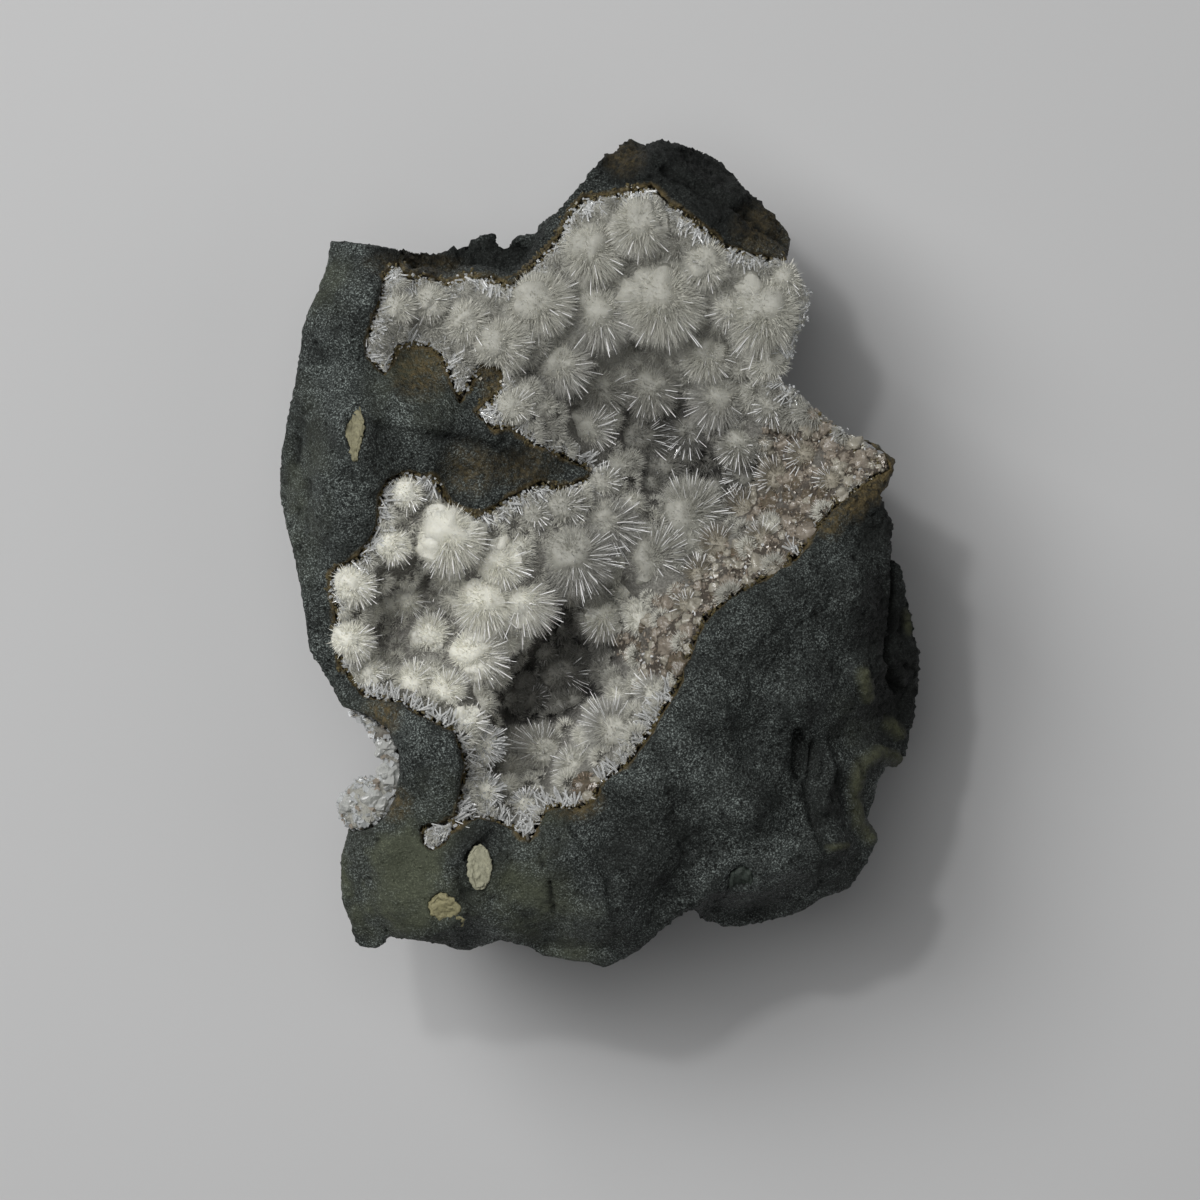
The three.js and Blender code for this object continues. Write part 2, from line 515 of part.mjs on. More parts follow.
// The whole piece of stone before anything is cut into it.
function stoneBody() {
  const net = netOver(STONE_OUTLINE, FACE_FACET);
  const points = net.points.map(([x, y]) => [x, y, faceHeight(x, y)]);
  const sides = addSides(points, net.outline.length);
  const backLoop = sides.back.map((i) => new THREE.Vector2(points[i][0], points[i][1]));
  const flat = THREE.ShapeUtils.triangulateShape(backLoop, [])
    .map((corners) => facingDown(points, corners.map((i) => sides.back[i])));
  return solidFrom(points, [...net.triangles, ...sides.triangles, ...flat]);
}

// The same triangle, turned so that it faces down.
function facingDown(points, [a, b, c]) {
  return turnOf(points[a], points[b], points[c]) > 0 ? [a, c, b] : [a, b, c];
}

// Height of the crust that lines the hollow, level with the broken face at the rim.
function liningRelief(net) {
  const rimPlaces = net.outline
    .filter((_, index) => index % 2 === 0)
    .map(([x, y]) => [x, y, heightFrom(FACE_HEIGHTS, x, y) - 0.4]);
  const places = [...LINING_HEIGHTS, ...rimPlaces];
  return ([x, y]) => heightFrom(places, x, y);
}

// The lining with the closed middles of its sprays and its crystal points.
function crystalRelief(base, sprays, [x, y]) {
  let height = base([x, y]);
  for (const [sprayX, sprayY, reach] of sprays) {
    const radius = DOME_SHARE * reach;
    const away = Math.hypot(x - sprayX, y - sprayY);
    if (away >= radius) continue;
    const middle = base([sprayX, sprayY]) + SPRAY_LIFT * reach - 0.2 * radius;
    height = Math.max(height, middle + 0.9 * Math.sqrt(radius ** 2 - away ** 2));
  }
  return height + CRUST_GRAIN * (2 * scatter(Math.round(x * 10), Math.round(y * 10), 6) - 1);
}

// The lowest that the lining comes within half a facet of a place.
function lowestAround(relief, [x, y]) {
  let lowest = relief([x, y]);
  for (let i = 0; i < 8; i++) {
    const angle = (i * Math.PI) / 4;
    const near = [x + LOOK_ROUND * Math.cos(angle), y + LOOK_ROUND * Math.sin(angle)];
    lowest = Math.min(lowest, relief(near));
  }
  return lowest;
}

// Height of the stone under the crust.
function stoneUnderCrust(relief, [x, y], isRim) {
  const underFace = heightFrom(FACE_HEIGHTS, x, y) - RIM_DEPTH;
  const underLining = lowestAround(relief, [x, y]) - (isRim ? RIM_DEPTH : CRUST_THICKNESS);
  return Math.max(THINNEST_FLOOR, Math.min(underLining, underFace));
}

// Each outline point moved inwards by the given distance.
function drawnInOutline(outline, distance) {
  const clockwise = isClockwise(outline);
  return outline.map(([x, y], index) => {
    const [ax, ay] = outline[(index - 1 + outline.length) % outline.length];
    const [bx, by] = outline[(index + 1) % outline.length];
    const length = Math.hypot(bx - ax, by - ay) * (clockwise ? 1 : -1);
    return [x + ((by - ay) / length) * distance, y - ((bx - ax) / length) * distance];
  });
}

// How much higher than the stone a surface runs that keeps the fitting gap to it, slopes included.
function gapAbove(height, [x, y]) {
  const step = 0.8;
  const slope = Math.hypot(height([x + step, y]) - height([x - step, y]),
    height([x, y + step]) - height([x, y - step])) / (2 * step);
  return FIT_GAP * Math.min(4, Math.hypot(1, slope));
}

// The hollow's own space (what is cut from the stone) and the room that its crust may fill.
function hollowSpaces(corners, spacing, floorAt) {
  const net = netOver(corners, spacing);
  const rim = net.outline.length;
  const cut = slabOver(
    net,
    ([x, y], index) => [x, y, floorAt([x, y], index < rim)],
    ([x, y]) => [x, y, CLEAR_ABOVE],
  );
  const drawnIn = drawnInOutline(net.outline, FIT_GAP);
  const inner = { ...net, points: net.points.map((p, index) => (index < rim ? drawnIn[index] : p)) };
  const room = slabOver(
    inner,
    ([x, y], index) => {
      const [stoneX, stoneY] = net.points[index];
      const floor = floorAt([stoneX, stoneY], index < rim);
      const slopeGap = gapAbove((place) => floorAt(place, false), [stoneX, stoneY]);
      return [x, y, floor + slopeGap];
    },
    ([x, y]) => [x, y, CLEAR_ABOVE + 1],
  );
  return { cut, room };
}

// A ball of crystals: twelve blunt points with dips between them.
function spray(x, y, z, reach, seed) {
  const ball = new THREE.IcosahedronGeometry(1, 1);
  ball.deleteAttribute("normal");
  ball.deleteAttribute("uv");
  const geometry = mergeVertices(ball, 1e-3);
  const tips = new THREE.IcosahedronGeometry(1, 0).getAttribute("position");
  const turn = new THREE.Euler(6 * scatter(seed, 1, 7), 6 * scatter(seed, 2, 7), 6 * scatter(seed, 3, 7));
  const position = geometry.getAttribute("position");
  const point = new THREE.Vector3();
  const tip = new THREE.Vector3();
  const points = [];
  for (let i = 0; i < position.count; i++) {
    point.fromBufferAttribute(position, i);
    let isTip = false;
    for (let k = 0; k < tips.count; k++) {
      if (tip.fromBufferAttribute(tips, k).distanceTo(point) < 0.01) isTip = true;
    }
    point.applyEuler(turn).multiplyScalar(reach * (isTip ? 1 : WAIST));
    points.push([x + point.x, y + point.y, z + point.z]);
  }
  const index = Array.from(geometry.index.array);
  const triangles = [];
  for (let i = 0; i < index.length; i += 3) triangles.push(index.slice(i, i + 3));
  return solidFrom(points, triangles);
}

// One crust: an uneven layer with sprays grown through it, kept to the room it may fill.
function crust(net, base, sprays, largeSprays, room) {
  const above = (place) => [...place, crystalRelief(base, sprays, place)];
  let solid = slabOver(net, ([x, y]) => [x, y, 0], above);
  largeSprays.forEach(([x, y, reach], index) => {
    solid = solid.add(spray(x, y, base([x, y]) + SPRAY_LIFT * reach, reach, index));
  });
  return solid.intersect(room);
}

// The largest of the separate bodies of a solid, without its loose crumbs.
function mainBody(solid) {
  return solid.decompose().sort((a, b) => b.volume() - a.volume())[0];
}

// A prism over an outline, grown by the given distance on all sides.
function prism(outline, bottom, top, growth) {
  const loop = drawnInOutline(outline, -growth);
  const flat = THREE.ShapeUtils.triangulateShape(loop.map(([x, y]) => new THREE.Vector2(x, y)), []);
  const points = [...loop.map(([x, y]) => [x, y, top]), ...loop.map(([x, y]) => [x, y, bottom])];
  const down = flat.map((t) => facingDown(points, t));
  const walls = strip(loop.length, 0, loop.length);
  const facing = isClockwise(loop) ? walls : walls.map(([a, b, c]) => [a, c, b]);
  return solidFrom(points, [
    ...down.map(([a, b, c]) => [a, c, b]),
    ...down.map(([a, b, c]) => [a + loop.length, b + loop.length, c + loop.length]),
    ...facing,
  ]);
}

// An oval of corner points.
function oval([x, y], halfWidth, halfLength, corners) {
  return Array.from({ length: corners }, (_, i) => {
    const angle = (-2 * Math.PI * i) / corners;
    return [x + halfWidth * Math.cos(angle), y + halfLength * Math.sin(angle)];
  });
}

// A filled bubble in the face, with the pocket that it sits in.
function inset(outline, [x, y]) {
  const face = faceHeight(x, y);
  return {
    solid: prism(outline, face - INSET_DEPTH, face + INSET_PROUD, 0),
    pocket: prism(outline, face - INSET_DEPTH - FIT_GAP, CLEAR_ABOVE, FIT_GAP),
  };
}

// A named mesh of a solid.
function meshOf(name, solid, material) {
  const made = solid.getMesh();
  const geometry = new THREE.BufferGeometry();
  geometry.setAttribute("position", new THREE.BufferAttribute(made.vertProperties, 3));
  geometry.setIndex(new THREE.BufferAttribute(made.triVerts, 1));
  const mesh = new THREE.Mesh(geometry, material);
  mesh.name = name;
  return mesh;
}

const liningNet = netOver(HOLLOW_RIM, CRUST_FACET);
const lining = liningRelief(liningNet);
const hollow = hollowSpaces(
  HOLLOW_RIM,
  FLOOR_FACET,
  (place, isRim) => stoneUnderCrust(lining, place, isRim),
);
const pocketNet = netOver(POCKET_RIM, CRUST_FACET);
const pocketLining = ([x, y]) => heightFrom(POCKET_HEIGHTS, x, y);
const pocket = hollowSpaces(POCKET_RIM, FLOOR_FACET, () => POCKET_FLOOR);
const recess = slabOver(
  netOver(RECESS_RIM, FLOOR_FACET),
  ([x, y]) => [x, y, heightFrom(RECESS_HEIGHTS, x, y)],
  ([x, y]) => [x, y, CLEAR_ABOVE],
);
const gash = prism(GASH_RIM, GASH_FLOOR, CLEAR_ABOVE, 0);

const insets = {
  cream_lath: { ...inset(LATH, LATH_MIDDLE), color: 0xb5ad8c },
  oval_filling: { ...inset(oval(OVAL_MIDDLE, 1.2, 2.45, 10), OVAL_MIDDLE), color: 0xb8b296 },
  star_filling: { ...inset(CLUSTER, CLUSTER_MIDDLE), color: 0xa89f86 },
  green_filling: { ...inset(oval(GREEN_MIDDLE, 1.4, 2.1, 8), GREEN_MIDDLE), color: 0x4b5a4c },
};

let stone = stoneBody().subtract(hollow.cut).subtract(pocket.cut).subtract(recess).subtract(gash);
for (const filling of Object.values(insets)) stone = stone.subtract(filling.pocket);

const specimen = new THREE.Group();
specimen.name = "thomsonite_with_natrolite";
specimen.add(meshOf("basalt_matrix", mainBody(stone), stoneFinish()));
specimen.add(meshOf(
  "vug_crust",
  mainBody(crust(liningNet, lining, SPRAYS, LARGE_SPRAYS, hollow.room)),
  crustFinish()));
specimen.add(meshOf(
  "side_pocket_crust",
  mainBody(crust(pocketNet, pocketLining, POCKET_SPRAYS, [], pocket.room)),
  crustFinish()));
for (const [name, filling] of Object.entries(insets)) {
  specimen.add(meshOf(name, filling.solid, insetFinish(filling.color)));
}

export default specimen;
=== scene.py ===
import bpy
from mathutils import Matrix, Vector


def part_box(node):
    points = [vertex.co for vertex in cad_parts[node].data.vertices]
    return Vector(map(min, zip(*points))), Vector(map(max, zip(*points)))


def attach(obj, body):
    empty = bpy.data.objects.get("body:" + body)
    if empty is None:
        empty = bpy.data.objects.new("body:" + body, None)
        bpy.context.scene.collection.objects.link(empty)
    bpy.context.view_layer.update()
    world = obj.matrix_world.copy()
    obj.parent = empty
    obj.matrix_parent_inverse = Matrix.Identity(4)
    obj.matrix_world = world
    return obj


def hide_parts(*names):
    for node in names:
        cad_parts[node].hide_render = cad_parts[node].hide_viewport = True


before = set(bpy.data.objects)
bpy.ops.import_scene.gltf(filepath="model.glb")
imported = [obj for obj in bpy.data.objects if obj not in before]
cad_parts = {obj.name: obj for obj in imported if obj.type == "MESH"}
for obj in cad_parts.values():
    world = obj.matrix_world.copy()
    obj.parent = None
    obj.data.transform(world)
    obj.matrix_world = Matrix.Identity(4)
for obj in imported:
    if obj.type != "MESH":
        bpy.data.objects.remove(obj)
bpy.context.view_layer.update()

# A basalt block with a hollow full of natrolite needles and a thomsonite band, lying on its back.
# Lengths are worked out in millimetres of the frame and turned into metres when a mesh is made.
import logging
import math
from dataclasses import dataclass, field, replace
from enum import Enum
from typing import Callable, Iterable, Sequence

import bpy
import numpy as np
from mathutils import Vector, noise
from mathutils.bvhtree import BVHTree

logging.basicConfig(level=logging.INFO, format="%(message)s")
log = logging.getLogger("specimen")

MM = 0.001
ABOVE_ALL = 70.0
SAWN_TOP = 0.05
DOWN = Vector((0, 0, -1))
MOST_SPLITS = 7
NOISE_SEED = 1
SPRAY_SEED = 7
BODY = "root"
CRYSTAL_SLOT = "needle_crystals"
noise.seed_set(NOISE_SEED)


# Shapes as arrays

@dataclass
class Shape:
    """Points and faces of one piece, in millimetres of the frame.

    Attributes:
        points: One row of x, y, z for each point.
        faces: Faces as lists of point numbers.
        values: Named values for each point, which materials read.
    """

    points: np.ndarray
    faces: list
    values: dict = field(default_factory=dict)

    def to_piece(self, name: str, material: bpy.types.Material, smooth: bool = False,
                 slot: str = CRYSTAL_SLOT) -> bpy.types.Object:
        """Makes the Blender object of this shape.

        Args:
            name: Name of the piece.
            material: Its finish.
            smooth: Whether its faces are shaded smoothly.
            slot: Not used.

        Returns:
            The new object, which rides on the stone's body.
        """
        mesh = bpy.data.meshes.new(name)
        corners = np.concatenate([np.asarray(f, dtype=np.int32) for f in self.faces])
        sizes = np.array([len(f) for f in self.faces], dtype=np.int32)
        starts = np.concatenate([[0], np.cumsum(sizes)[:-1]]).astype(np.int32)
        mesh.vertices.add(len(self.points))
        mesh.vertices.foreach_set("co", (self.points * MM).astype(np.float32).ravel())
        mesh.loops.add(len(corners))
        mesh.loops.foreach_set("vertex_index", corners)
        mesh.polygons.add(len(sizes))
        mesh.polygons.foreach_set("loop_start", starts)
        mesh.polygons.foreach_set("use_smooth", np.full(len(sizes), smooth))
        for key, value in self.values.items():
            layer = mesh.attributes.new(key, "FLOAT", "POINT")
            layer.data.foreach_set("value", np.asarray(value, dtype=np.float32))
        mesh.update(calc_edges=True)
        mesh.materials.append(material)
        piece = bpy.data.objects.new(name, mesh)
        bpy.context.scene.collection.objects.link(piece)
        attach(piece, BODY)
        return piece


def joined(shapes: Iterable[Shape]) -> Shape:
    """Puts several shapes into one.

    Args:
        shapes: The shapes to join.

    Returns:
        One shape with the points and faces of all.
    """
    points, faces, start = [], [], 0
    for shape in shapes:
        points.append(shape.points)
        faces.extend(np.asarray(f) + start for f in shape.faces)
        start += len(shape.points)
    return Shape(np.vstack(points), faces)


def node_arrays(node: str) -> tuple[np.ndarray, np.ndarray]:
    """Reads a CAD node's mesh.

    Args:
        node: Name of the node.

    Returns:
        Its points in millimetres and its triangles.
    """
    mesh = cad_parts[node].data
    mesh.calc_loop_triangles()
    points = np.empty(len(mesh.vertices) * 3, dtype=np.float32)
    mesh.vertices.foreach_get("co", points)
    triangles = np.empty(len(mesh.loop_triangles) * 3, dtype=np.int32)
    mesh.loop_triangles.foreach_get("vertices", triangles)
    points = points.reshape(-1, 3).astype(float) / MM
    unique, inverse = np.unique(np.round(points, 3), axis=0, return_inverse=True)
    triangles = inverse.reshape(-1)[triangles.reshape(-1, 3)]
    whole = (triangles[:, 0] != triangles[:, 1]) & (triangles[:, 1] != triangles[:, 2])
    whole &= triangles[:, 2] != triangles[:, 0]
    return unique, triangles[whole]


def tree_of(points: np.ndarray, triangles: np.ndarray) -> BVHTree:
    """Makes a search tree of a mesh in millimetres."""
    return BVHTree.FromPolygons([Vector(p) for p in points], triangles.tolist())


def edges_of(triangles: np.ndarray) -> tuple[np.ndarray, np.ndarray]:
    """Lists the edges of triangles.

    Args:
        triangles: The triangles.

    Returns:
        The edges, and for each side of each triangle the number of its edge.
    """
    sides = np.vstack([triangles[:, [0, 1]], triangles[:, [1, 2]], triangles[:, [2, 0]]])
    edges, owner = np.unique(np.sort(sides, axis=1), axis=0, return_inverse=True)
    return edges, owner.reshape(-1)


def refine(points: np.ndarray, triangles: np.ndarray, longest: Callable) -> tuple[np.ndarray, np.ndarray]:
    """Splits each edge that is longer than allowed, until none is.

    Args:
        points: Points of the mesh.
        triangles: Its triangles.
        longest: Gives the longest edge allowed at each of several places.

    Returns:
        The finer points and triangles.
    """
    for _ in range(MOST_SPLITS):
        edges, owner = edges_of(triangles)
        start, end = points[edges[:, 0]], points[edges[:, 1]]
        middles = (start + end) / 2
        split = np.linalg.norm(end - start, axis=1) > longest(middles)
        if not split.any():
            break
        number = np.full(len(edges), -1)
        number[split] = len(points) + np.arange(split.sum())
        points = np.vstack([points, middles[split]])
        cut = number[owner].reshape(3, -1).T
        count = (cut >= 0).sum(axis=1)
        done = [triangles[count == 0]]
        for amount in (1, 2, 3):
            t, m = triangles[count == amount], cut[count == amount]
            if amount == 1:
                turn = np.argmax(m >= 0, axis=1)
            elif amount == 2:
                turn = (np.argmax(m < 0, axis=1) + 1) % 3
            else:
                turn = np.zeros(len(t), dtype=int)
            order = (turn[:, None] + np.arange(3)) % 3
            a, b, c = np.take_along_axis(t, order, axis=1).T
            ab, bc, ca = np.take_along_axis(m, order, axis=1).T
            if amount == 1:
                rows = [(a, ab, c), (ab, b, c)]
            elif amount == 2:
                rows = [(ab, b, bc), (a, ab, bc), (a, bc, c)]
            else:
                rows = [(a, ab, ca), (ab, b, bc), (ca, bc, c), (ab, bc, ca)]
            done.extend(np.stack(row, axis=1) for row in rows)
        triangles = np.vstack(done)
    return points, triangles


def softened(points: np.ndarray, triangles: np.ndarray, passes: int, held: np.ndarray) -> np.ndarray:
    """Moves each point towards the mean of its neighbours.

    Args:
        points: Points of the mesh.
        triangles: Its triangles.
        passes: How many times to do it.
        held: True for the points that stay where they are.

    Returns:
        The moved points.
    """
    edges, _ = edges_of(triangles)
    count = np.bincount(edges.ravel(), minlength=len(points)).clip(1)
    for _ in range(passes):
        total = np.zeros_like(points)
        for axis in range(3):
            total[:, axis] = np.bincount(edges[:, 0], points[edges[:, 1], axis], len(points))
            total[:, axis] += np.bincount(edges[:, 1], points[edges[:, 0], axis], len(points))
        moved = 0.5 * points + 0.5 * total / count[:, None]
        points = np.where(held[:, None], points, moved)
    return points


def normals_of(points: np.ndarray, triangles: np.ndarray) -> np.ndarray:
    """Gives the mean normal at each point of a mesh.

    Args:
        points: Points of the mesh.
        triangles: Its triangles.

    Returns:
        One unit vector for each point.
    """
    a, b, c = (points[triangles[:, i]] for i in range(3))
    faces = np.cross(b - a, c - a)
    total = np.zeros_like(points)
    for axis in range(3):
        for corner in range(3):
            total[:, axis] += np.bincount(triangles[:, corner], faces[:, axis], len(points))
    return total / np.linalg.norm(total, axis=1).clip(1e-9)[:, None]


# Finishes

MIX_INPUTS = (0, 6, 7)
MIX_OUTPUT = 2


@dataclass(frozen=True)
class Pattern:
    """A cloudy pattern that goes from 0 to 1.

    Attributes:
        scale: Lumps to a millimetre.
        detail: How many finer layers it has.
        roughness: Strength of each finer layer, as a share of the one before.
        low: Value of the noise that gives 0.
        high: Value of the noise that gives 1.
    """

    scale: float
    detail: float
    roughness: float
    low: float = 0.0
    high: float = 1.0


class Graph:
    """Small helper that adds nodes to a material's or a group's tree."""

    def __init__(self, tree: bpy.types.NodeTree) -> None:
        self.tree = tree

    def add(self, kind: str, **inputs: object) -> bpy.types.Node:
        """Adds a node and sets or links its inputs.

        Args:
            kind: The node's type name.
            inputs: Values or sockets by input name, with _ for a space.

        Returns:
            The new node.
        """
        node = self.tree.nodes.new(kind)
        self.finish(node, **inputs)
        return node

    def feed(self, target: bpy.types.NodeSocket, value: object) -> None:
        """Links a socket to an input, or sets the input's plain value.

        Args:
            target: The input.
            value: A socket, a number or a colour.
        """
        if isinstance(value, bpy.types.NodeSocket):
            self.tree.links.new(value, target)
        elif isinstance(value, tuple) and len(value) == 3 and target.type == "RGBA":
            target.default_value = (*value, 1.0)
        else:
            target.default_value = value

    def finish(self, shader: bpy.types.Node, **inputs: object) -> None:
        """Sets or links a shader's inputs.

        Args:
            shader: The shader.
            inputs: Values or sockets by input name, with _ for a space.
        """
        for key, value in inputs.items():
            self.feed(shader.inputs[key.replace("_", " ")], value)

    def group(self, tree: bpy.types.NodeTree, **inputs: object) -> bpy.types.Node:
        """Places a node group and sets or links its inputs.

        Args:
            tree: The group.
            inputs: Values or sockets by input name.

        Returns:
            The node that holds the group.
        """
        node = self.tree.nodes.new("ShaderNodeGroup")
        node.node_tree = tree
        self.finish(node, **inputs)
        return node

    def mottled(self, place: bpy.types.NodeSocket, pattern: "Pattern") -> bpy.types.NodeSocket:
        """Places a cloudy pattern.

        Args:
            place: Where on the piece, in millimetres.
            pattern: Its sizes.

        Returns:
            The pattern, from 0 to 1.
        """
        node = self.group(mottling_group(), Place=place, Scale=pattern.scale, Detail=pattern.detail,
                          Roughness=pattern.roughness, Low=pattern.low, High=pattern.high)
        return node.outputs["Mask"]

    def between(self, value: bpy.types.NodeSocket, low: object, high: object) -> bpy.types.NodeSocket:
        """Maps a value so that low gives 0 and high gives 1, clamped.

        Args:
            value: The value.
            low: What gives 0.
            high: What gives 1.

        Returns:
            The mapped value.
        """
        node = self.add("ShaderNodeMapRange", Value=value, From_Min=low, From_Max=high)
        return node.outputs["Result"]

    def mixed(self, share: object, first: object, second: object) -> bpy.types.NodeSocket:
        """Mixes two colours.

        Args:
            share: Share of the second colour.
            first: The first colour.
            second: The second colour.

        Returns:
            The mixed colour.
        """
        node = self.tree.nodes.new("ShaderNodeMix")
        node.data_type = "RGBA"
        for number, value in zip(MIX_INPUTS, (share, first, second)):
            self.feed(node.inputs[number], value)
        return node.outputs[MIX_OUTPUT]

    def maths(self, how: str, first: object, second: object = 0.0) -> bpy.types.NodeSocket:
        """Adds a maths node.

        Args:
            how: Name of its operation.
            first: The first value.
            second: The second value.

        Returns:
            Its result.
        """
        node = self.tree.nodes.new("ShaderNodeMath")
        node.operation = how
        self.feed(node.inputs[0], first)
        self.feed(node.inputs[1], second)
        return node.outputs[0]

    def value(self, name: str) -> bpy.types.NodeSocket:
        """Reads one of the mesh's own values.

        Args:
            name: Its name.

        Returns:
            The value.
        """
        node = self.tree.nodes.new("ShaderNodeAttribute")
        node.attribute_name = name
        return node.outputs["Fac"]

    def place(self) -> bpy.types.NodeSocket:
        """Finds the place on the piece.

        Returns:
            The place in millimetres.
        """
        coordinates = self.tree.nodes.new("ShaderNodeTexCoord")
        scaled = self.tree.nodes.new("ShaderNodeVectorMath")
        scaled.operation = "SCALE"
        scaled.inputs["Scale"].default_value = 1 / MM
        self.tree.links.new(coordinates.outputs["Object"], scaled.inputs[0])
        return scaled.outputs[0]

    def raised(self, height: bpy.types.NodeSocket, strength: float, depth: float,
               **inputs: object) -> bpy.types.NodeSocket:
        """Turns a height into a normal.

        Args:
            height: The height, from 0 to 1.
            strength: How strongly it shows.
            depth: The height's span in millimetres.
            inputs: Other inputs of the node by name.

        Returns:
            The normal.
        """
        node = self.add("ShaderNodeBump", Height=height, Strength=strength, Distance=depth * MM, **inputs)
        return node.outputs["Normal"]


def new_material(name: str) -> tuple[bpy.types.Material, Graph, bpy.types.Node]:
    """Makes a material with one Principled shader.

    Args:
        name: Name of the material.

    Returns:
        The material, its graph and the shader node.
    """
    material = bpy.data.materials.new(name)
    material.use_nodes = True
    graph = Graph(material.node_tree)
    return material, graph, material.node_tree.nodes["Principled BSDF"]


def new_group(name: str, inputs: dict, outputs: dict) -> tuple[Graph, dict, bpy.types.Node]:
    """Makes a shader node group with named sockets.

    Args:
        name: Name of the group.
        inputs: Socket type and plain value by input name.
        outputs: Socket type by output name.

    Returns:
        The group's graph, its inputs' sockets by name, and its output node.
    """
    tree = bpy.data.node_groups.new(name, "ShaderNodeTree")
    for key, (kind, plain) in inputs.items():
        socket = tree.interface.new_socket(key, in_out="INPUT", socket_type=kind)
        if plain is not None:
            socket.default_value = plain
    for key, kind in outputs.items():
        tree.interface.new_socket(key, in_out="OUTPUT", socket_type=kind)
    entry = tree.nodes.new("NodeGroupInput")
    leave = tree.nodes.new("NodeGroupOutput")
    return Graph(tree), {key: entry.outputs[key] for key in inputs}, leave


def mottling_group() -> bpy.types.NodeTree:
    """A cloudy pattern, made once and used by several finishes.

    Returns:
        The node group.
    """
    known = bpy.data.node_groups.get("mottling")
    if known is not None:
        return known
    numbers = dict.fromkeys(("Scale", "Detail", "Roughness", "Low", "High"), ("NodeSocketFloat", 0.0))
    inputs = {"Place": ("NodeSocketVector", None), **numbers}
    graph, given, leave = new_group("mottling", inputs, {"Mask": "NodeSocketFloat"})
    cloud = graph.add("ShaderNodeTexNoise", Vector=given["Place"], Scale=given["Scale"],
                      Detail=given["Detail"], Roughness=given["Roughness"])
    graph.finish(leave, Mask=graph.between(cloud.outputs["Fac"], given["Low"], given["High"]))
    return graph.tree


def speckle_group() -> bpy.types.NodeTree:
    """Fine light and dark grains of a stone, as a colour, a mask of the light ones and a height.

    Returns:
        The node group.
    """
    drifts, fine_detail = Pattern(0.35, 5, 0.7, 0.3, 0.62), (2, 0.75)
    light_range, dark_range, pit_range, pit_scale = (0.525, 0.64), (0.45, 0.36), (0.27, 0.17), 1.15
    least_light, dark_share, pit_depth = 0.15, 0.8, 0.6
    graph, given, leave = new_group(
        "stone_grain",
        {
            "Place": ("NodeSocketVector", None),
            "Ground": ("NodeSocketColor", (0.03, 0.04, 0.04, 1)),
            "Light": ("NodeSocketColor", (0.1, 0.12, 0.12, 1)),
            "Dark": ("NodeSocketColor", (0.01, 0.012, 0.012, 1)),
            "Grain": ("NodeSocketFloat", 3.0),
        },
        {"Color": "NodeSocketColor", "Mask": "NodeSocketFloat", "Height": "NodeSocketFloat"},
    )
    coarse = graph.mottled(given["Place"], drifts)
    fine = graph.add("ShaderNodeTexNoise", Vector=given["Place"], Scale=given["Grain"],
                     Detail=fine_detail[0], Roughness=fine_detail[1]).outputs["Fac"]
    holes = graph.add("ShaderNodeTexVoronoi", Vector=given["Place"], Scale=pit_scale)
    coarse = graph.maths("ADD", graph.maths("MULTIPLY", coarse, 1 - least_light), least_light)
    light = graph.maths("MULTIPLY", graph.between(fine, *light_range), coarse)
    pits = graph.between(holes.outputs["Distance"], *pit_range)
    dark = graph.maths("MAXIMUM", pits, graph.between(fine, *dark_range))
    colour = graph.mixed(light, given["Ground"], given["Light"])
    colour = graph.mixed(graph.maths("MULTIPLY", dark, dark_share), colour, given["Dark"])
    height = graph.maths("SUBTRACT", fine, graph.maths("MULTIPLY", pits, pit_depth))
    graph.finish(leave, Color=colour, Mask=light, Height=height)
    return graph.tree


def breakage_group() -> bpy.types.NodeTree:
    """Chips and small steps of broken stone, as a height.

    Returns:
        The node group.
    """
    chip_scale, chip_height, steps = 0.7, 0.12, Pattern(1.1, 7, 0.7)
    graph, given, leave = new_group(
        "stone_breakage", {"Place": ("NodeSocketVector", None)}, {"Height": "NodeSocketFloat"})
    chips = graph.add("ShaderNodeTexVoronoi", Vector=given["Place"], Scale=chip_scale)
    height = graph.maths("ADD", graph.maths("MULTIPLY", chips.outputs["Distance"], chip_height),
                         graph.mottled(given["Place"], steps))
    graph.finish(leave, Height=height)
    return graph.tree


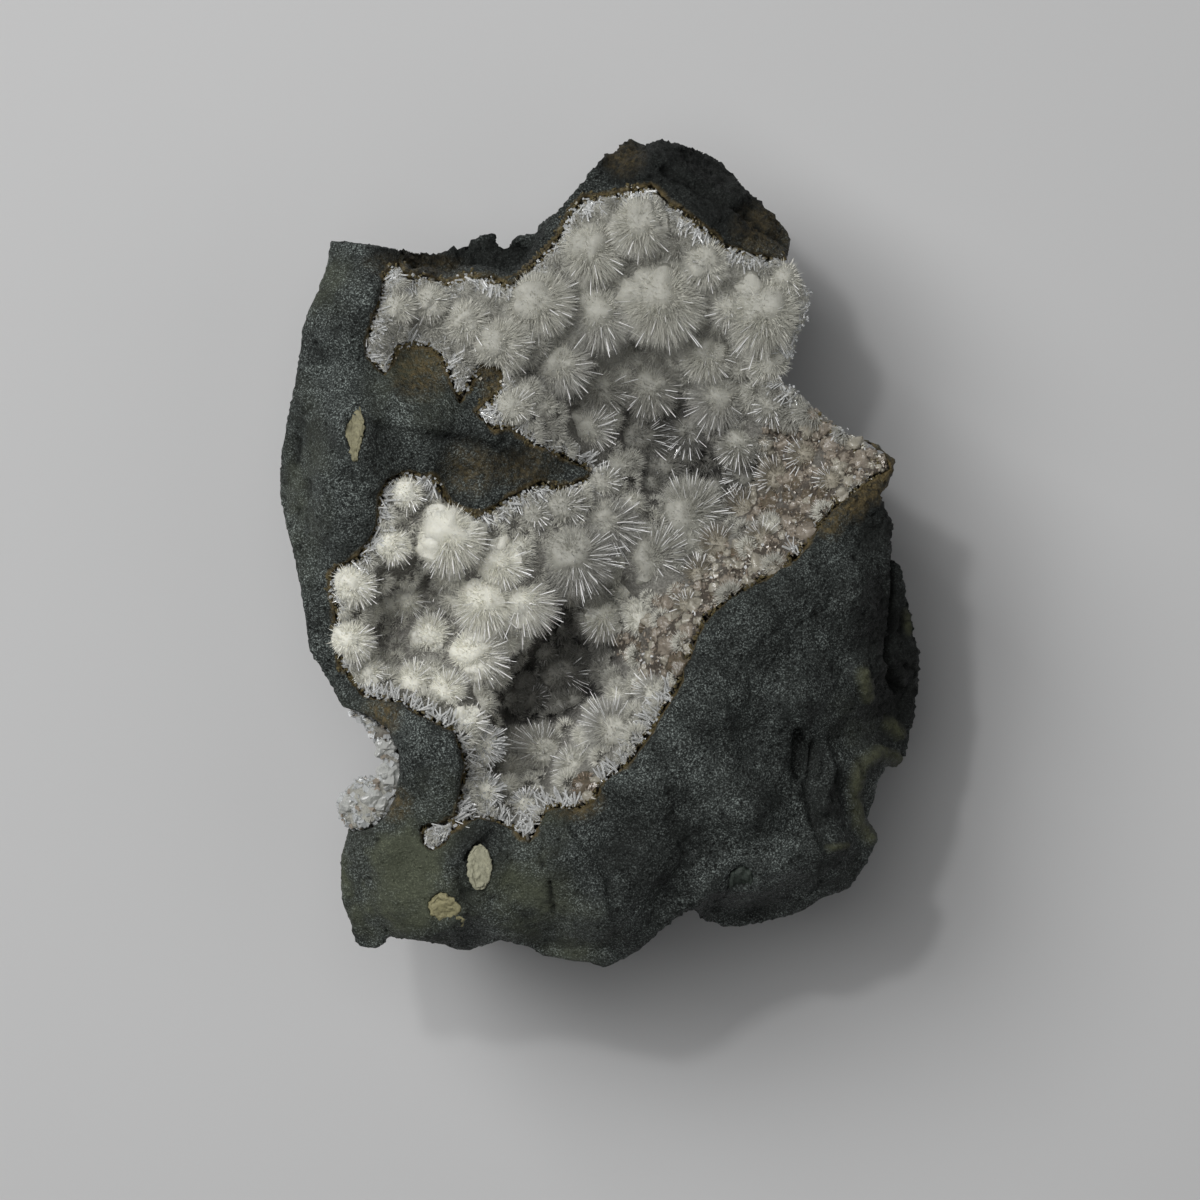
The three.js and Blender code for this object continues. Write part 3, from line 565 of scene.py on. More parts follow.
@dataclass(frozen=True)
class StoneFinish:
    """Broken basalt: fine grey-blue grain, green altered patches, a brown line at the crystals.

    Attributes:
        ground: Colour between the grains.
        light: Colour of the light grains.
        dark: Colour of the dark grains, and of the painted shade in the pits and grooves.
        green: Colour of the altered patches.
        brown: Colour of the line at the crystals.
        olive: Colour of the filled bubbles and veins near the right edge.
        grain: Grains to a millimetre.
        roughness: Roughness of its surface.
        gloss: Strength of its reflections.
        tones: Pattern of its darker and lighter parts.
        tone_depth: How dark the darker parts are.
        shade_depth: How dark the shaded patches are.
        blotches: Pattern of the altered patches.
        mottles: Pattern of the olive and brown parts.
        waves: Pattern that makes the brown line uneven.
        rust_range: Nearness to the crystals at which the brown line starts and is full.
        broad: Strength and height of the chips.
        fine: Strength and height of the grains.
    """

    ground: tuple = (0.052, 0.060, 0.056)
    light: tuple = (0.46, 0.52, 0.49)
    dark: tuple = (0.006, 0.007, 0.006)
    green: tuple = (0.18, 0.20, 0.135)
    brown: tuple = (0.17, 0.128, 0.058)
    olive: tuple = (0.10, 0.105, 0.06)
    grain: float = 4.6
    roughness: float = 0.6
    gloss: float = 0.22
    tones: Pattern = Pattern(0.2, 7, 0.7, 0.4, 0.6)
    tone_depth: float = 0.62
    shade_depth: float = 0.86
    blotches: Pattern = Pattern(0.16, 5, 0.55, 0.42, 0.62)
    mottles: Pattern = Pattern(1.3, 4, 0.7, 0.3, 0.62)
    waves: Pattern = Pattern(0.9, 4, 0.55)
    rust_range: tuple = (0.66, 1.02)
    broad: tuple = (0.9, 0.6)
    fine: tuple = (0.8, 0.22)

    def material(self) -> bpy.types.Material:
        """Makes the material.

        Returns:
            The material.
        """
        material, graph, shader = new_material("broken_basalt")
        place = graph.place()
        grain = graph.group(speckle_group(), Place=place, Ground=self.ground, Light=self.light,
                            Dark=self.dark, Grain=self.grain)
        plain = grain.outputs["Color"]
        colour = graph.mixed(graph.mottled(place, self.tones),
                             graph.mixed(self.tone_depth, plain, self.dark), plain)
        blotch = graph.maths("ADD", graph.mottled(place, self.blotches), 0.2)
        green = graph.mixed(grain.outputs["Mask"], toned(self.green, 0.45), self.green)
        colour = graph.mixed(graph.maths("MULTIPLY", graph.value("altered"), blotch), colour, green)
        shade = graph.maths("MULTIPLY", graph.value("shade"), self.shade_depth)
        colour = graph.mixed(shade, colour, self.dark)
        mottled = graph.mottled(place, self.mottles)
        colour = graph.mixed(graph.value("pale"), colour,
                             graph.mixed(mottled, toned(self.olive, 0.55), self.olive))
        wavy = graph.maths("ADD", graph.value("contact"),
                           graph.maths("MULTIPLY", graph.mottled(place, self.waves), 0.6))
        rusty = graph.maths("MAXIMUM", graph.between(wavy, *self.rust_range),
                            graph.maths("MULTIPLY", graph.value("brown"), mottled))
        colour = graph.mixed(rusty, colour, graph.mixed(mottled, toned(self.brown, 0.35), self.brown))
        # Painted shade: the grooves and gas pits are darkened.
        colour = graph.mixed(graph.value("pit"), colour, self.dark)
        chips = graph.group(breakage_group(), Place=place)
        broad = graph.raised(chips.outputs["Height"], *self.broad)
        normal = graph.raised(grain.outputs["Height"], *self.fine, Normal=broad)
        graph.finish(shader, Base_Color=colour, Roughness=self.roughness, Specular_IOR_Level=self.gloss,
                     Normal=normal)
        return material


@dataclass(frozen=True)
class CrystalFinish:
    """A plain crystal: one colour, one gloss and one share of see-through.

    Attributes:
        name: Name of the material.
        colour: Base colour.
        roughness: Roughness of its faces.
        clearness: Share of light that goes through.
        ior: Index of refraction.
    """

    name: str
    colour: tuple
    roughness: float = 0.2
    clearness: float = 0.3
    ior: float = 1.48

    def material(self) -> bpy.types.Material:
        """Makes the material.

        Returns:
            The material.
        """
        material, graph, shader = new_material(self.name)
        graph.finish(shader, Base_Color=self.colour, Roughness=self.roughness, IOR=self.ior,
                     Transmission_Weight=self.clearness)
        return material


@dataclass(frozen=True)
class Felt:
    """The felted base that the needles grow from, pinkish where the thomsonite is.

    Attributes:
        milk: Colour of the closed milky crust above the hollow, also laid on the high lining as painted
            light.
        white: Colour of the felted needles, kept dim as painted shade under the sprays.
        grey: Colour in the gaps, kept dark as painted shade between the sprays.
        pink: Colour of the thomsonite.
        rust: Colour of its edge at the stone.
        specks: Pattern of its light and dark parts.
        roughness: Roughness of its surface.
        raised: Strength and height of its unevenness.
    """

    milk: tuple = (0.62, 0.612, 0.545)
    # white and grey are kept dark: painted shade for the gaps under the sprays.
    white: tuple = (0.36, 0.35, 0.32)
    grey: tuple = (0.09, 0.085, 0.075)
    pink: tuple = (0.15, 0.122, 0.094)
    rust: tuple = (0.16, 0.125, 0.06)
    specks: Pattern = Pattern(2.6, 4, 0.7, 0.35, 0.68)
    roughness: float = 0.5
    raised: tuple = (0.9, 0.25)

    def material(self) -> bpy.types.Material:
        """Makes the material.

        Returns:
            The material.
        """
        material, graph, shader = new_material("felted_crystals")
        speck = graph.mottled(graph.place(), self.specks)
        colour = graph.mixed(speck, self.grey, self.white)
        # Mixes in the milky crust colour: the crust's own colour in the upper hollow, and painted light
        # where the lining lies high.
        for value, darkest, tone in (("milk", 0.72, self.milk), ("pink", 0.5, self.pink)):
            colour = graph.mixed(graph.value(value), colour, graph.mixed(speck, toned(tone, darkest), tone))
        # Painted shade: the lining darkens low in the deep hole.
        colour = graph.mixed(graph.value("deep_shade"), colour, toned(self.grey, 0.3))
        rusty = graph.mixed(speck, toned(self.rust, 0.3), self.rust)
        colour = graph.mixed(graph.value("rim"), colour, rusty)
        graph.finish(shader, Base_Color=colour, Roughness=self.roughness,
                     Normal=graph.raised(speck, *self.raised))
        return material


@dataclass(frozen=True)
class Milky:
    """The closed heart of a spray: soft, milky and faintly fibrous.

    Attributes:
        name: Name of the material.
        colour: Its colour.
        depth: How far light spreads under its surface, in millimetres.
        spread_share: Share of the light that does.
        spread: How far each part of the light's colour goes.
        gloss: Roughness of its surface.
        clouds: Pattern of its lighter and darker parts.
        fibres: Pattern of its unevenness.
        raised: Strength and height of its unevenness.
    """

    name: str = "milky_hearts"
    colour: tuple = (0.80, 0.79, 0.70)
    depth: float = 1.0
    spread_share: float = 0.35
    spread: tuple = (1.0, 0.95, 0.85)
    gloss: float = 0.6
    clouds: Pattern = Pattern(0.5, 4, 0.6, 0.3, 0.7)
    fibres: Pattern = Pattern(3.5, 3, 0.7)
    raised: tuple = (0.35, 0.2)

    def material(self) -> bpy.types.Material:
        """Makes the material.

        Returns:
            The material.
        """
        material, graph, shader = new_material(self.name)
        place = graph.place()
        colour = graph.mixed(graph.mottled(place, self.clouds), toned(self.colour, 0.8), self.colour)
        graph.finish(shader, Base_Color=colour, Roughness=self.gloss, Subsurface_Weight=self.spread_share,
                     Subsurface_Radius=self.spread, Subsurface_Scale=self.depth * MM,
                     Normal=graph.raised(graph.mottled(place, self.fibres), *self.raised))
        return material


SILKY = CrystalFinish("silky_needles", (0.90, 0.89, 0.80), 0.22, 0.12)
CLEAR = CrystalFinish("clear_needles", (0.95, 0.94, 0.87), 0.07, 0.3)
GREYISH = CrystalFinish("greyish_needles", (0.80, 0.79, 0.71), 0.2, 0.25)
# White needles that stand in for glints: painted highlights.
GLINT_WHITE = CrystalFinish("painted_glint_needles", (0.98, 0.98, 0.97), 0.08, 0.0)
PINKISH = CrystalFinish("pinkish_grains", (0.43, 0.37, 0.30), 0.1, 0.35, 1.52)
PALE_GRAINS = CrystalFinish("pale_grains", (0.64, 0.605, 0.515), 0.08, 0.3, 1.52)
BROWNISH = CrystalFinish("brownish_grains", (0.36, 0.27, 0.2), 0.16, 0.3, 1.52)
GLASSY = CrystalFinish("glassy_blades", (0.82, 0.83, 0.82), 0.08, 0.35)
CLEAR_GRAINS = CrystalFinish("clear_grains", (0.8, 0.82, 0.82), 0.08, 0.5)
POCKET_GLASS = CrystalFinish("pocket_glass", (0.72, 0.73, 0.70), 0.12, 0.45)
RUSTY_GRAINS = CrystalFinish("rusty_grains", (0.12, 0.098, 0.048), 0.25, 0.0, 1.55)
THOMSONITE_SHADES = {
    "pinkish": (Milky("pinkish_lumps", (0.29, 0.252, 0.205), gloss=0.12), PINKISH),
    "pale": (Milky("pale_lumps", (0.37, 0.345, 0.285), gloss=0.12), PALE_GRAINS),
    "brownish": (Milky("brownish_lumps", (0.15, 0.124, 0.09), gloss=0.12), BROWNISH),
}


@dataclass(frozen=True)
class Region:
    """How the sprays of one part of the hollow look.

    Attributes:
        tone: Brightness, as a share of the full colour: painted shade for the parts of the hollow that lie
            in shadow.
        heart: Brightness of the hearts, as a share of that.
        buds: Smaller lumps grown together with each heart.
        tint: Colour that everything is tinted with.
    """

    tone: float
    heart: float = 1.0
    buds: int = 0
    tint: tuple = (1.0, 1.0, 1.0)


# The tones are painted shade: each part of the hollow gets a darker or lighter copy of the same crystal
# colours, darkest in the bowl and the deep hole. The band's tint is the thomsonite's own pinkish colour.
REGIONS = {
    "upper": Region(0.77, 0.74, 1),
    "bowl": Region(0.62, 0.8),
    "lower": Region(1.0, buds=3),
    "foot": Region(0.7),
    "band": Region(0.43, tint=(1.0, 0.93, 0.84)),
    "high": Region(0.84, 0.92),
    "small": Region(0.64, 0.8),
    "deep_shade": Region(0.34),
}


def toned(colour: tuple, share: float, tint: tuple = (1.0, 1.0, 1.0)) -> tuple:
    """Gives a colour with a share of its brightness and a tint."""
    return tuple(share * part * hue for part, hue in zip(colour, tint))


# Surfaces that pieces are set on

class TopSurface:
    """Heights of the hollow's lining, read from the crust node from above."""

    step = 0.45
    margin = 4
    small_point = 5
    large_point = 7
    carried = 5
    evened = 3

    def __init__(self, crust: str, stone: str) -> None:
        """Reads the heights.

        Args:
            crust: Name of the crust's node.
            stone: Name of the stone's node.
        """
        low, high = (np.array(corner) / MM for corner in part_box(crust))
        self.origin = low[:2] - self.margin * self.step
        self.shape = np.ceil((high[:2] - low[:2]) / self.step).astype(int) + 2 * self.margin + 1
        self.crust = tree_of(*node_arrays(crust))
        self.stone = tree_of(*node_arrays(stone))
        raw = self.cast(self.crust)
        self.stone_top = self.cast(self.stone)
        self.inside = np.isfinite(raw)
        self.base = self.without_points(raw, self.small_point)
        self.floor = self.without_points(raw, self.large_point)

    def cast(self, tree: BVHTree) -> np.ndarray:
        """Reads what a tree holds from above.

        Args:
            tree: The tree.

        Returns:
            Its height at each place of the grid, NaN where it has none.
        """
        heights = np.full(tuple(self.shape), np.nan)
        for i in range(self.shape[0]):
            for j in range(self.shape[1]):
                x, y = self.origin + np.array([i, j]) * self.step
                hit = tree.ray_cast(Vector((x, y, ABOVE_ALL)), DOWN)[0]
                if hit is not None:
                    heights[i, j] = hit.z
        return heights

    def without_points(self, raw: np.ndarray, reach: int) -> np.ndarray:
        """Takes what stands up off the heights and carries them a little past the edge.

        Args:
            raw: Heights, NaN where there are none.
            reach: Half the width of what is taken off, in places of the grid.

        Returns:
            Heights everywhere.
        """
        known = np.where(self.inside, raw, np.inf)
        low = spread(known, reach, np.minimum)
        low = np.where(np.isfinite(low), low, -np.inf)
        opened = spread(low, reach, np.maximum)
        heights = np.where(self.inside, opened, np.nan)
        return blurred(filled(heights, self.carried), self.evened)

    def at(self, grid: np.ndarray, x: np.ndarray, y: np.ndarray) -> np.ndarray:
        """Reads a grid between its places.

        Args:
            grid: Values at the grid's places.
            x: Places along the width.
            y: Places along the length.

        Returns:
            The values at the given places.
        """
        u = (np.asarray(x, float) - self.origin[0]) / self.step
        v = (np.asarray(y, float) - self.origin[1]) / self.step
        i = np.clip(np.floor(u).astype(int), 0, self.shape[0] - 2)
        j = np.clip(np.floor(v).astype(int), 0, self.shape[1] - 2)
        fu, fv = np.clip(u - i, 0, 1), np.clip(v - j, 0, 1)
        near = grid[i, j] * (1 - fu) + grid[i + 1, j] * fu
        far = grid[i, j + 1] * (1 - fu) + grid[i + 1, j + 1] * fu
        return near * (1 - fv) + far * fv

    def is_inside(self, x: np.ndarray, y: np.ndarray) -> np.ndarray:
        """Whether places lie over the crust."""
        return self.at(self.inside.astype(float), x, y) > 0.5

    def height(self, x: np.ndarray, y: np.ndarray) -> np.ndarray:
        """Height of the lining without its sprays."""
        return self.at(self.base, x, y)

    def normal(self, x: np.ndarray, y: np.ndarray, reach: float = 2.0) -> np.ndarray:
        """Gives the lining's mean upward normal.

        Args:
            x: Places along the width.
            y: Places along the length.
            reach: Stretch to each side that it is taken over.

        Returns:
            One unit vector for each place.
        """
        slope_x = (self.height(x + reach, y) - self.height(x - reach, y)) / (2 * reach)
        slope_y = (self.height(x, y + reach) - self.height(x, y - reach)) / (2 * reach)
        up = np.stack([-slope_x, -slope_y, np.ones_like(slope_x)], axis=-1)
        return up / np.linalg.norm(up, axis=-1)[..., None]


def neighbours(grid: np.ndarray) -> list:
    """Shifts a grid one place each way.

    Args:
        grid: The grid.

    Returns:
        Nine grids, with the edge repeated.
    """
    wide = np.pad(grid, 1, mode="edge")
    across, along = grid.shape
    return [wide[1 + i:1 + i + across, 1 + j:1 + j + along] for i in (-1, 0, 1) for j in (-1, 0, 1)]


def spread(grid: np.ndarray, passes: int, pick: Callable) -> np.ndarray:
    """Gives each place the least or greatest of its neighbours.

    Args:
        grid: The grid.
        passes: How many times to do it.
        pick: Which of the neighbours' values it takes.

    Returns:
        The new grid.
    """
    for _ in range(passes):
        grid = pick.reduce(neighbours(grid))
    return grid


def filled(grid: np.ndarray, passes: int) -> np.ndarray:
    """Carries known values into unknown places next to them, and the mean everywhere else.

    Args:
        grid: The grid, NaN where it isn't known.
        passes: How many places far.

    Returns:
        The grid without NaN.
    """
    for _ in range(passes):
        near = np.stack(neighbours(grid))
        count = np.isfinite(near).sum(axis=0)
        mean = np.nansum(near, axis=0) / count.clip(1)
        grid = np.where(np.isfinite(grid) | (count == 0), grid, mean)
    return np.where(np.isfinite(grid), grid, np.nanmean(grid))


def blurred(grid: np.ndarray, passes: int) -> np.ndarray:
    """Evens out a grid.

    Args:
        grid: The grid.
        passes: How many times to do it.

    Returns:
        The evened grid.
    """
    for _ in range(passes):
        grid = np.mean(neighbours(grid), axis=0)
    return grid


# The stone

PATCH_FALL = 1.4


@dataclass(frozen=True)
class Patch:
    """A round patch of the broken face.

    Attributes:
        x: Place along the width.
        y: Place along the length.
        radius: Distance at which it has faded out.
        share: Strength in the middle.
        stretch: How much longer it is along the length than across.
    """

    x: float
    y: float
    radius: float
    share: float = 1.0
    stretch: float = 1.0

    def strength(self, points: np.ndarray) -> np.ndarray:
        """Gives its strength at each point, from 0 past its radius."""
        away = np.hypot(points[:, 0] - self.x, (points[:, 1] - self.y) / self.stretch)
        return self.share * np.clip(PATCH_FALL * (1 - away / self.radius), 0, 1)


@dataclass(frozen=True)
class Mark:
    """A crack, groove or ridge that runs over the broken face.

    Attributes:
        line: Places that it runs through.
        width: Half its width.
        height: Height of its middle, negative for a groove.
        pale: How much of the olive mineral it shows.
        dark: How dark it is: painted shade in its groove.
    """

    line: tuple
    width: float
    height: float
    pale: float = 0.0
    dark: float = 0.0

    def strength(self, points: np.ndarray) -> np.ndarray:
        """Gives how strongly it shows.

        Args:
            points: Points of the stone.

        Returns:
            1 on the line and 0 past its width, for each point.
        """
        nearest = np.full(len(points), np.inf)
        line = np.array(self.line, dtype=float)
        for start, end in zip(line, line[1:]):
            way = end - start
            share = np.clip((points[:, :2] - start) @ way / (way @ way), 0, 1)
            away = points[:, :2] - start - share[:, None] * way
            nearest = np.minimum(nearest, np.hypot(away[:, 0], away[:, 1]))
        return np.clip(1 - (nearest / self.width) ** 2, 0, 1) ** 2


ALTERED_PATCHES = (
    Patch(-27, -36, 11), Patch(-19, -31, 6, 0.7), Patch(-10, -41, 8, 0.9), Patch(-24, -42, 9, 0.9),
    Patch(-8, -33, 5, 0.9), Patch(-30, -22, 6, 0.5), Patch(-22, 20, 7, 0.6), Patch(-3, -46, 6, 0.6),
    Patch(31, -20, 5, 0.5), Patch(-36, 8, 5, 0.4, 3), Patch(-34, 32, 6, 0.6),
)
SHADED_PATCHES = (
    Patch(-14.8, -35.4, 5.2, 0.75), Patch(-16, -41.5, 3, 0.5), Patch(36.5, -13, 5, 0.85, 2.2),
    Patch(26, -29, 7, 0.55, 1.2), Patch(-12, 13, 8, 0.5, 0.6), Patch(6, 49, 8, 0.45),
    Patch(33, 4, 6, 0.5), Patch(16, 44, 9, 0.4), Patch(-8, 36, 12, 0.7, 0.35),
    Patch(14, -44, 7, 0.4, 0.5), Patch(30, -38, 9, 0.4), Patch(6, 48, 12, 1.0, 0.8),
    Patch(17, 42, 10, 1.0), Patch(-18, 36.2, 11, 1.0, 0.3), Patch(5, -36, 13, 0.6, 0.8),
    Patch(35, -12, 8, 0.8, 2.6), Patch(20, -12, 16, 0.35, 1.4), Patch(33, 6, 6, 0.6),
)
BROWN_PATCHES = (
    Patch(-3, -29.6, 4, 1.0, 0.7), Patch(-21.4, 21.6, 4.2, 0.9), Patch(-12.9, 21.5, 2.4, 0.9, 1.8),
    Patch(-15.6, 10, 4, 0.6), Patch(-9, 10, 5, 0.6, 0.6), Patch(-26, -19.6, 3, 0.9),
    Patch(-24.5, -30, 2.6, 0.8), Patch(3, 47.5, 3, 0.5), Patch(20, 38, 5, 0.5),
    Patch(-22, 34.5, 7, 0.5, 0.3), Patch(33.5, 10.8, 4, 1.0), Patch(32.5, 7.8, 2.6),
    Patch(30, 5.4, 2.4), Patch(27.4, 3.4, 2.2),
)
MARKS = (
    Mark(((28.8, -23.4), (30.6, -24.6), (31.2, -26.6)), 0.5, -0.3, dark=0.6),
    Mark(((35.4, -24.8), (33, -24.2), (31, -25.6), (30.4, -29), (31, -32.6), (32.4, -34.4)),
         1.3, 0.7, 0.85),
    Mark(((31.4, -14.6), (32.2, -17.4)), 1.3, 0.25, 0.9),
    Mark(((35, -20.8), (36, -21.8)), 1.3, 0.3, 1.0),
    Mark(((37, -7.4), (37.5, -9.5)), 0.8, 0.1, 0.7),
    Mark(((25.6, -23.2), (24.6, -27.6), (25.4, -32), (27, -35.2)), 0.8, -0.55, dark=0.5),
    Mark(((27.4, -35.4), (29.6, -35.2)), 0.6, 0.35, 0.8),
    Mark(((26.6, -22), (27.6, -26), (26.6, -31)), 0.8, 0.45),
    Mark(((35.3, 2.4), (35.4, -5.2), (34.6, -12.4), (36, -16.6)), 0.6, -0.7, dark=0.8),
    Mark(((17.6, -33.2), (22.4, -33.6), (26.4, -34.4)), 0.6, -0.25, dark=0.4),
    Mark(((-6.1, -39.6), (-5.6, -43)), 0.4, -0.6, dark=0.9),
    Mark(((-7.2, -35), (-7, -37.6)), 0.3, -0.4, dark=0.8),
    Mark(((-12.6, -33), (-17.2, -38), (-15.6, -43)), 0.6, -0.3, dark=0.5),
    Mark(((-36.2, 13.4), (-36.6, 10.6)), 0.8, -0.6, dark=0.8),
    Mark(((-35.2, 8.2), (-35.2, 6.6)), 0.9, -0.6, dark=0.6),
    Mark(((-26, 15), (-18, 13.6), (-12, 12.6), (-8, 10.4)), 0.7, -0.5, dark=0.5),
    Mark(((-26, 2), (-31.6, -10), (-30, -19)), 0.6, -0.2, dark=0.2),
    Mark(((20, 48), (24, 42)), 0.6, -0.3, dark=0.4),
    Mark(((8, 45.6), (16, 41.6), (22, 37.6)), 0.9, -0.5, dark=0.5),
    Mark(((9, -13), (14, -17), (16, -24), (14, -32)), 1.2, 0.35),
    Mark(((20, -8), (24, -14), (24, -20)), 1.4, 0.3),
    Mark(((-3, -33), (1, -38), (2, -46)), 0.9, -0.35, dark=0.25),
)
CONTACT_WIDTH = 1.6


@dataclass(frozen=True)
class StoneBlock:
    """The broken basalt: the CAD solid with finer breakage.

    Attributes:
        face_edge: Longest edge on the broken face.
        side_edge: Longest edge on the sides.
        hidden_edge: Longest edge under the crystals and on the back.
        first_edge: Longest edge anywhere at the first softening.
        face_from: Height above which a place is part of the broken face.
        lumps: Height of the large lumps.
        chips: Height of the chips.
        roughness: Height of the fine roughness.
        pit_depth: Depth of the gas pits.
        lump_scale: Large lumps to a millimetre.
        chip_scale: Chips to a millimetre.
        ledge_scale: Ledges to a millimetre.
        rough_scale: Fine lumps to a millimetre.
        pit_scale: Gas pits to a millimetre.
        pit_sizes: Least size of a pit and how much it grows, as shares of their spacing.
        shade_relief: How much rougher the shaded patches are.
        steep_relief: How much rougher the steep sides are.
        front_height: Height from which the patches show, and the stretch in which they come up.
        face_height: Height from which the marks show, and the stretch in which they come up.
    """

    face_edge: float = 0.72
    side_edge: float = 1.6
    hidden_edge: float = 2.6
    first_edge: float = 1.2
    face_from: float = 19.0
    lumps: float = 0.22
    chips: float = 0.16
    roughness: float = 0.14
    pit_depth: float = 0.4
    lump_scale: float = 0.13
    chip_scale: float = 0.33
    ledge_scale: float = 0.24
    rough_scale: float = 1.7
    pit_scale: float = 0.5
    pit_sizes: tuple = (0.1, 0.55)
    shade_relief: float = 1.5
    steep_relief: float = 2.0
    front_height: tuple = (16, 6)
    face_height: tuple = (21, 4)

    def longest(self, crust: BVHTree, places: np.ndarray) -> np.ndarray:
        """Gives the longest edge allowed at several places.

        Args:
            crust: The crystals' crust.
            places: The places.

        Returns:
            The lengths.
        """
        limit = np.full(len(places), self.side_edge)
        for i, place in enumerate(places):
            if place[2] < SAWN_TOP or crust.ray_cast(Vector(place), -DOWN)[0] is not None:
                limit[i] = self.hidden_edge
            elif place[2] > self.face_from:
                limit[i] = self.face_edge
        return limit

    def build(self, crust: BVHTree) -> tuple[bpy.types.Object, BVHTree]:
        """Builds the stone.

        Args:
            crust: The crystals' crust, which hides part of the stone.

        Returns:
            The piece, and a search tree of it.
        """
        points, triangles = node_arrays("basalt_matrix")

        def soft(places: np.ndarray) -> np.ndarray:
            """Softens all but the sawn back and what touches the crystals."""
            still = (places[:, 2] < SAWN_TOP) | (distances(crust, places, 1.0) < 0.7)
            return softened(places, triangles, 2, still)

        points, triangles = refine(
            points, triangles, lambda places: np.maximum(self.first_edge, self.longest(crust, places)))
        points = soft(points)
        points, triangles = refine(points, triangles, lambda places: self.longest(crust, places))
        points = soft(points)
        values = self.marked(points, distances(crust, points, 3.0))
        points = self.broken(points, triangles, values)
        piece = Shape(points, list(triangles), values).to_piece(
            "basalt_block", StoneFinish().material(), smooth=True, slot="basalt")
        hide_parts("basalt_matrix")
        return piece, tree_of(points, triangles)

    def marked(self, points: np.ndarray, contact: np.ndarray) -> dict:
        """Works out what shows where on the stone.

        Args:
            points: Points of the stone.
            contact: Their distances to the crystals.

        Returns:
            Values for each point by name.
        """
        front = risen(points[:, 2], self.front_height)
        face = risen(points[:, 2], self.face_height)

        def sum_of(patches: Sequence[Patch]) -> np.ndarray:
            """Adds up patches where the broken face is."""
            return np.clip(sum(patch.strength(points) for patch in patches), 0, 1) * front

        return {
            "contact": np.clip(1 - contact / CONTACT_WIDTH, 0, 1),
            "altered": sum_of(ALTERED_PATCHES),
            "shade": sum_of(SHADED_PATCHES),
            "brown": sum_of(BROWN_PATCHES),
            "pale": np.max([m.pale * m.strength(points) for m in MARKS], axis=0) * face,
            # The pit value is painted shade in the grooves; the gas pits are added to it later.
            "pit": np.max([m.dark * m.strength(points) for m in MARKS], axis=0) * face,
            "sawn": (points[:, 2] < SAWN_TOP).astype(float),
        }

    def broken(self, points: np.ndarray, triangles: np.ndarray, values: dict) -> np.ndarray:
        """Adds lumps, chips, pits, roughness and the marks.

        Args:
            points: Points of the stone.
            triangles: Its triangles.
            values: What shows where; the pits are added to it.

        Returns:
            The moved points.
        """
        normals = normals_of(points, triangles)
        face = risen(points[:, 2], self.face_height)
        steep = np.clip(1.2 - 2 * np.abs(normals[:, 2]), 0, 1) * (1 - face)
        move = sum(m.height * m.strength(points) for m in MARKS) * face
        pits = np.zeros(len(points))
        least, growth = self.pit_sizes
        for i, point in enumerate(points):
            place = Vector(point)
            lump = noise.fractal(place * self.lump_scale, 0.8, 2.0, 4)
            chip = noise.ridged_multi_fractal(place * self.chip_scale, 0.9, 2.1, 4, 0.9, 2.0) - 1.2
            ledge = noise.noise(place * self.ledge_scale) * 5
            ledge = abs(ledge - round(ledge)) - 0.25
            fine = noise.fractal(place * self.rough_scale, 0.5, 2.2, 4)
            near = noise.voronoi(place * self.pit_scale)[0][0] / self.pit_scale
            size = least + growth * max(0.0, noise.noise(place * 0.31 + Vector((7, 3, 1))))
            pits[i] = min(1.0, max(0.0, 1.4 - near / size))
            move[i] += self.lumps * lump + self.chips * (0.6 * chip + 1.1 * ledge)
            move[i] += self.roughness * fine - self.pit_depth * pits[i]
        calm = 0.25 + 0.75 * np.clip(2.2 * (1 - values["contact"]), 0, 1)
        calm *= 1 + self.shade_relief * values["shade"] + self.steep_relief * steep
        move = move * calm * np.clip(points[:, 2] / 3, 0, 1)
        # Painted shade: the gas pits are darkened.
        values["pit"] = np.maximum(values["pit"], 0.8 * pits)
        moved = points + normals * move[:, None]
        moved[:, 2] = np.where(points[:, 2] < SAWN_TOP, points[:, 2], np.maximum(moved[:, 2], 0.02))
        return moved


def risen(heights: np.ndarray, stretch: tuple) -> np.ndarray:
    """Gives 0 below a stretch's start and 1 above its end."""
    start, length = stretch
    return np.clip((heights - start) / length, 0, 1)


def distances(tree: BVHTree, points: np.ndarray, most: float) -> np.ndarray:
    """Gives each point's distance to a tree's mesh, up to a most."""
    found = (tree.find_nearest(Vector(p), most)[3] for p in points)
    return np.array([most if away is None else away for away in found])


# The crystals

class Habit(Enum):
    """How a spray looks."""

    SILKY = "silky"
    LONG = "long"
    GREY = "grey"
    GLASSY = "glassy"
    BLADED = "bladed"


@dataclass(frozen=True)
class Spray:
    """One ball of needles that grow from a point.

    Attributes:
        x: Place along the width.
        y: Place along the length.
        reach: Length from the middle to the needles' tips.
        habit: How it looks.
    """

    x: float
    y: float
    reach: float
    habit: Habit = Habit.SILKY

    def place(self) -> tuple[np.ndarray, np.ndarray]:
        """Gives its place as two arrays of one number."""
        return np.array([self.x]), np.array([self.y])


def sprays(habit: Habit, *places: tuple) -> tuple:
    """Makes sprays of one habit from their places and reaches."""
    return tuple(Spray(x, y, reach, habit) for x, y, reach in places)


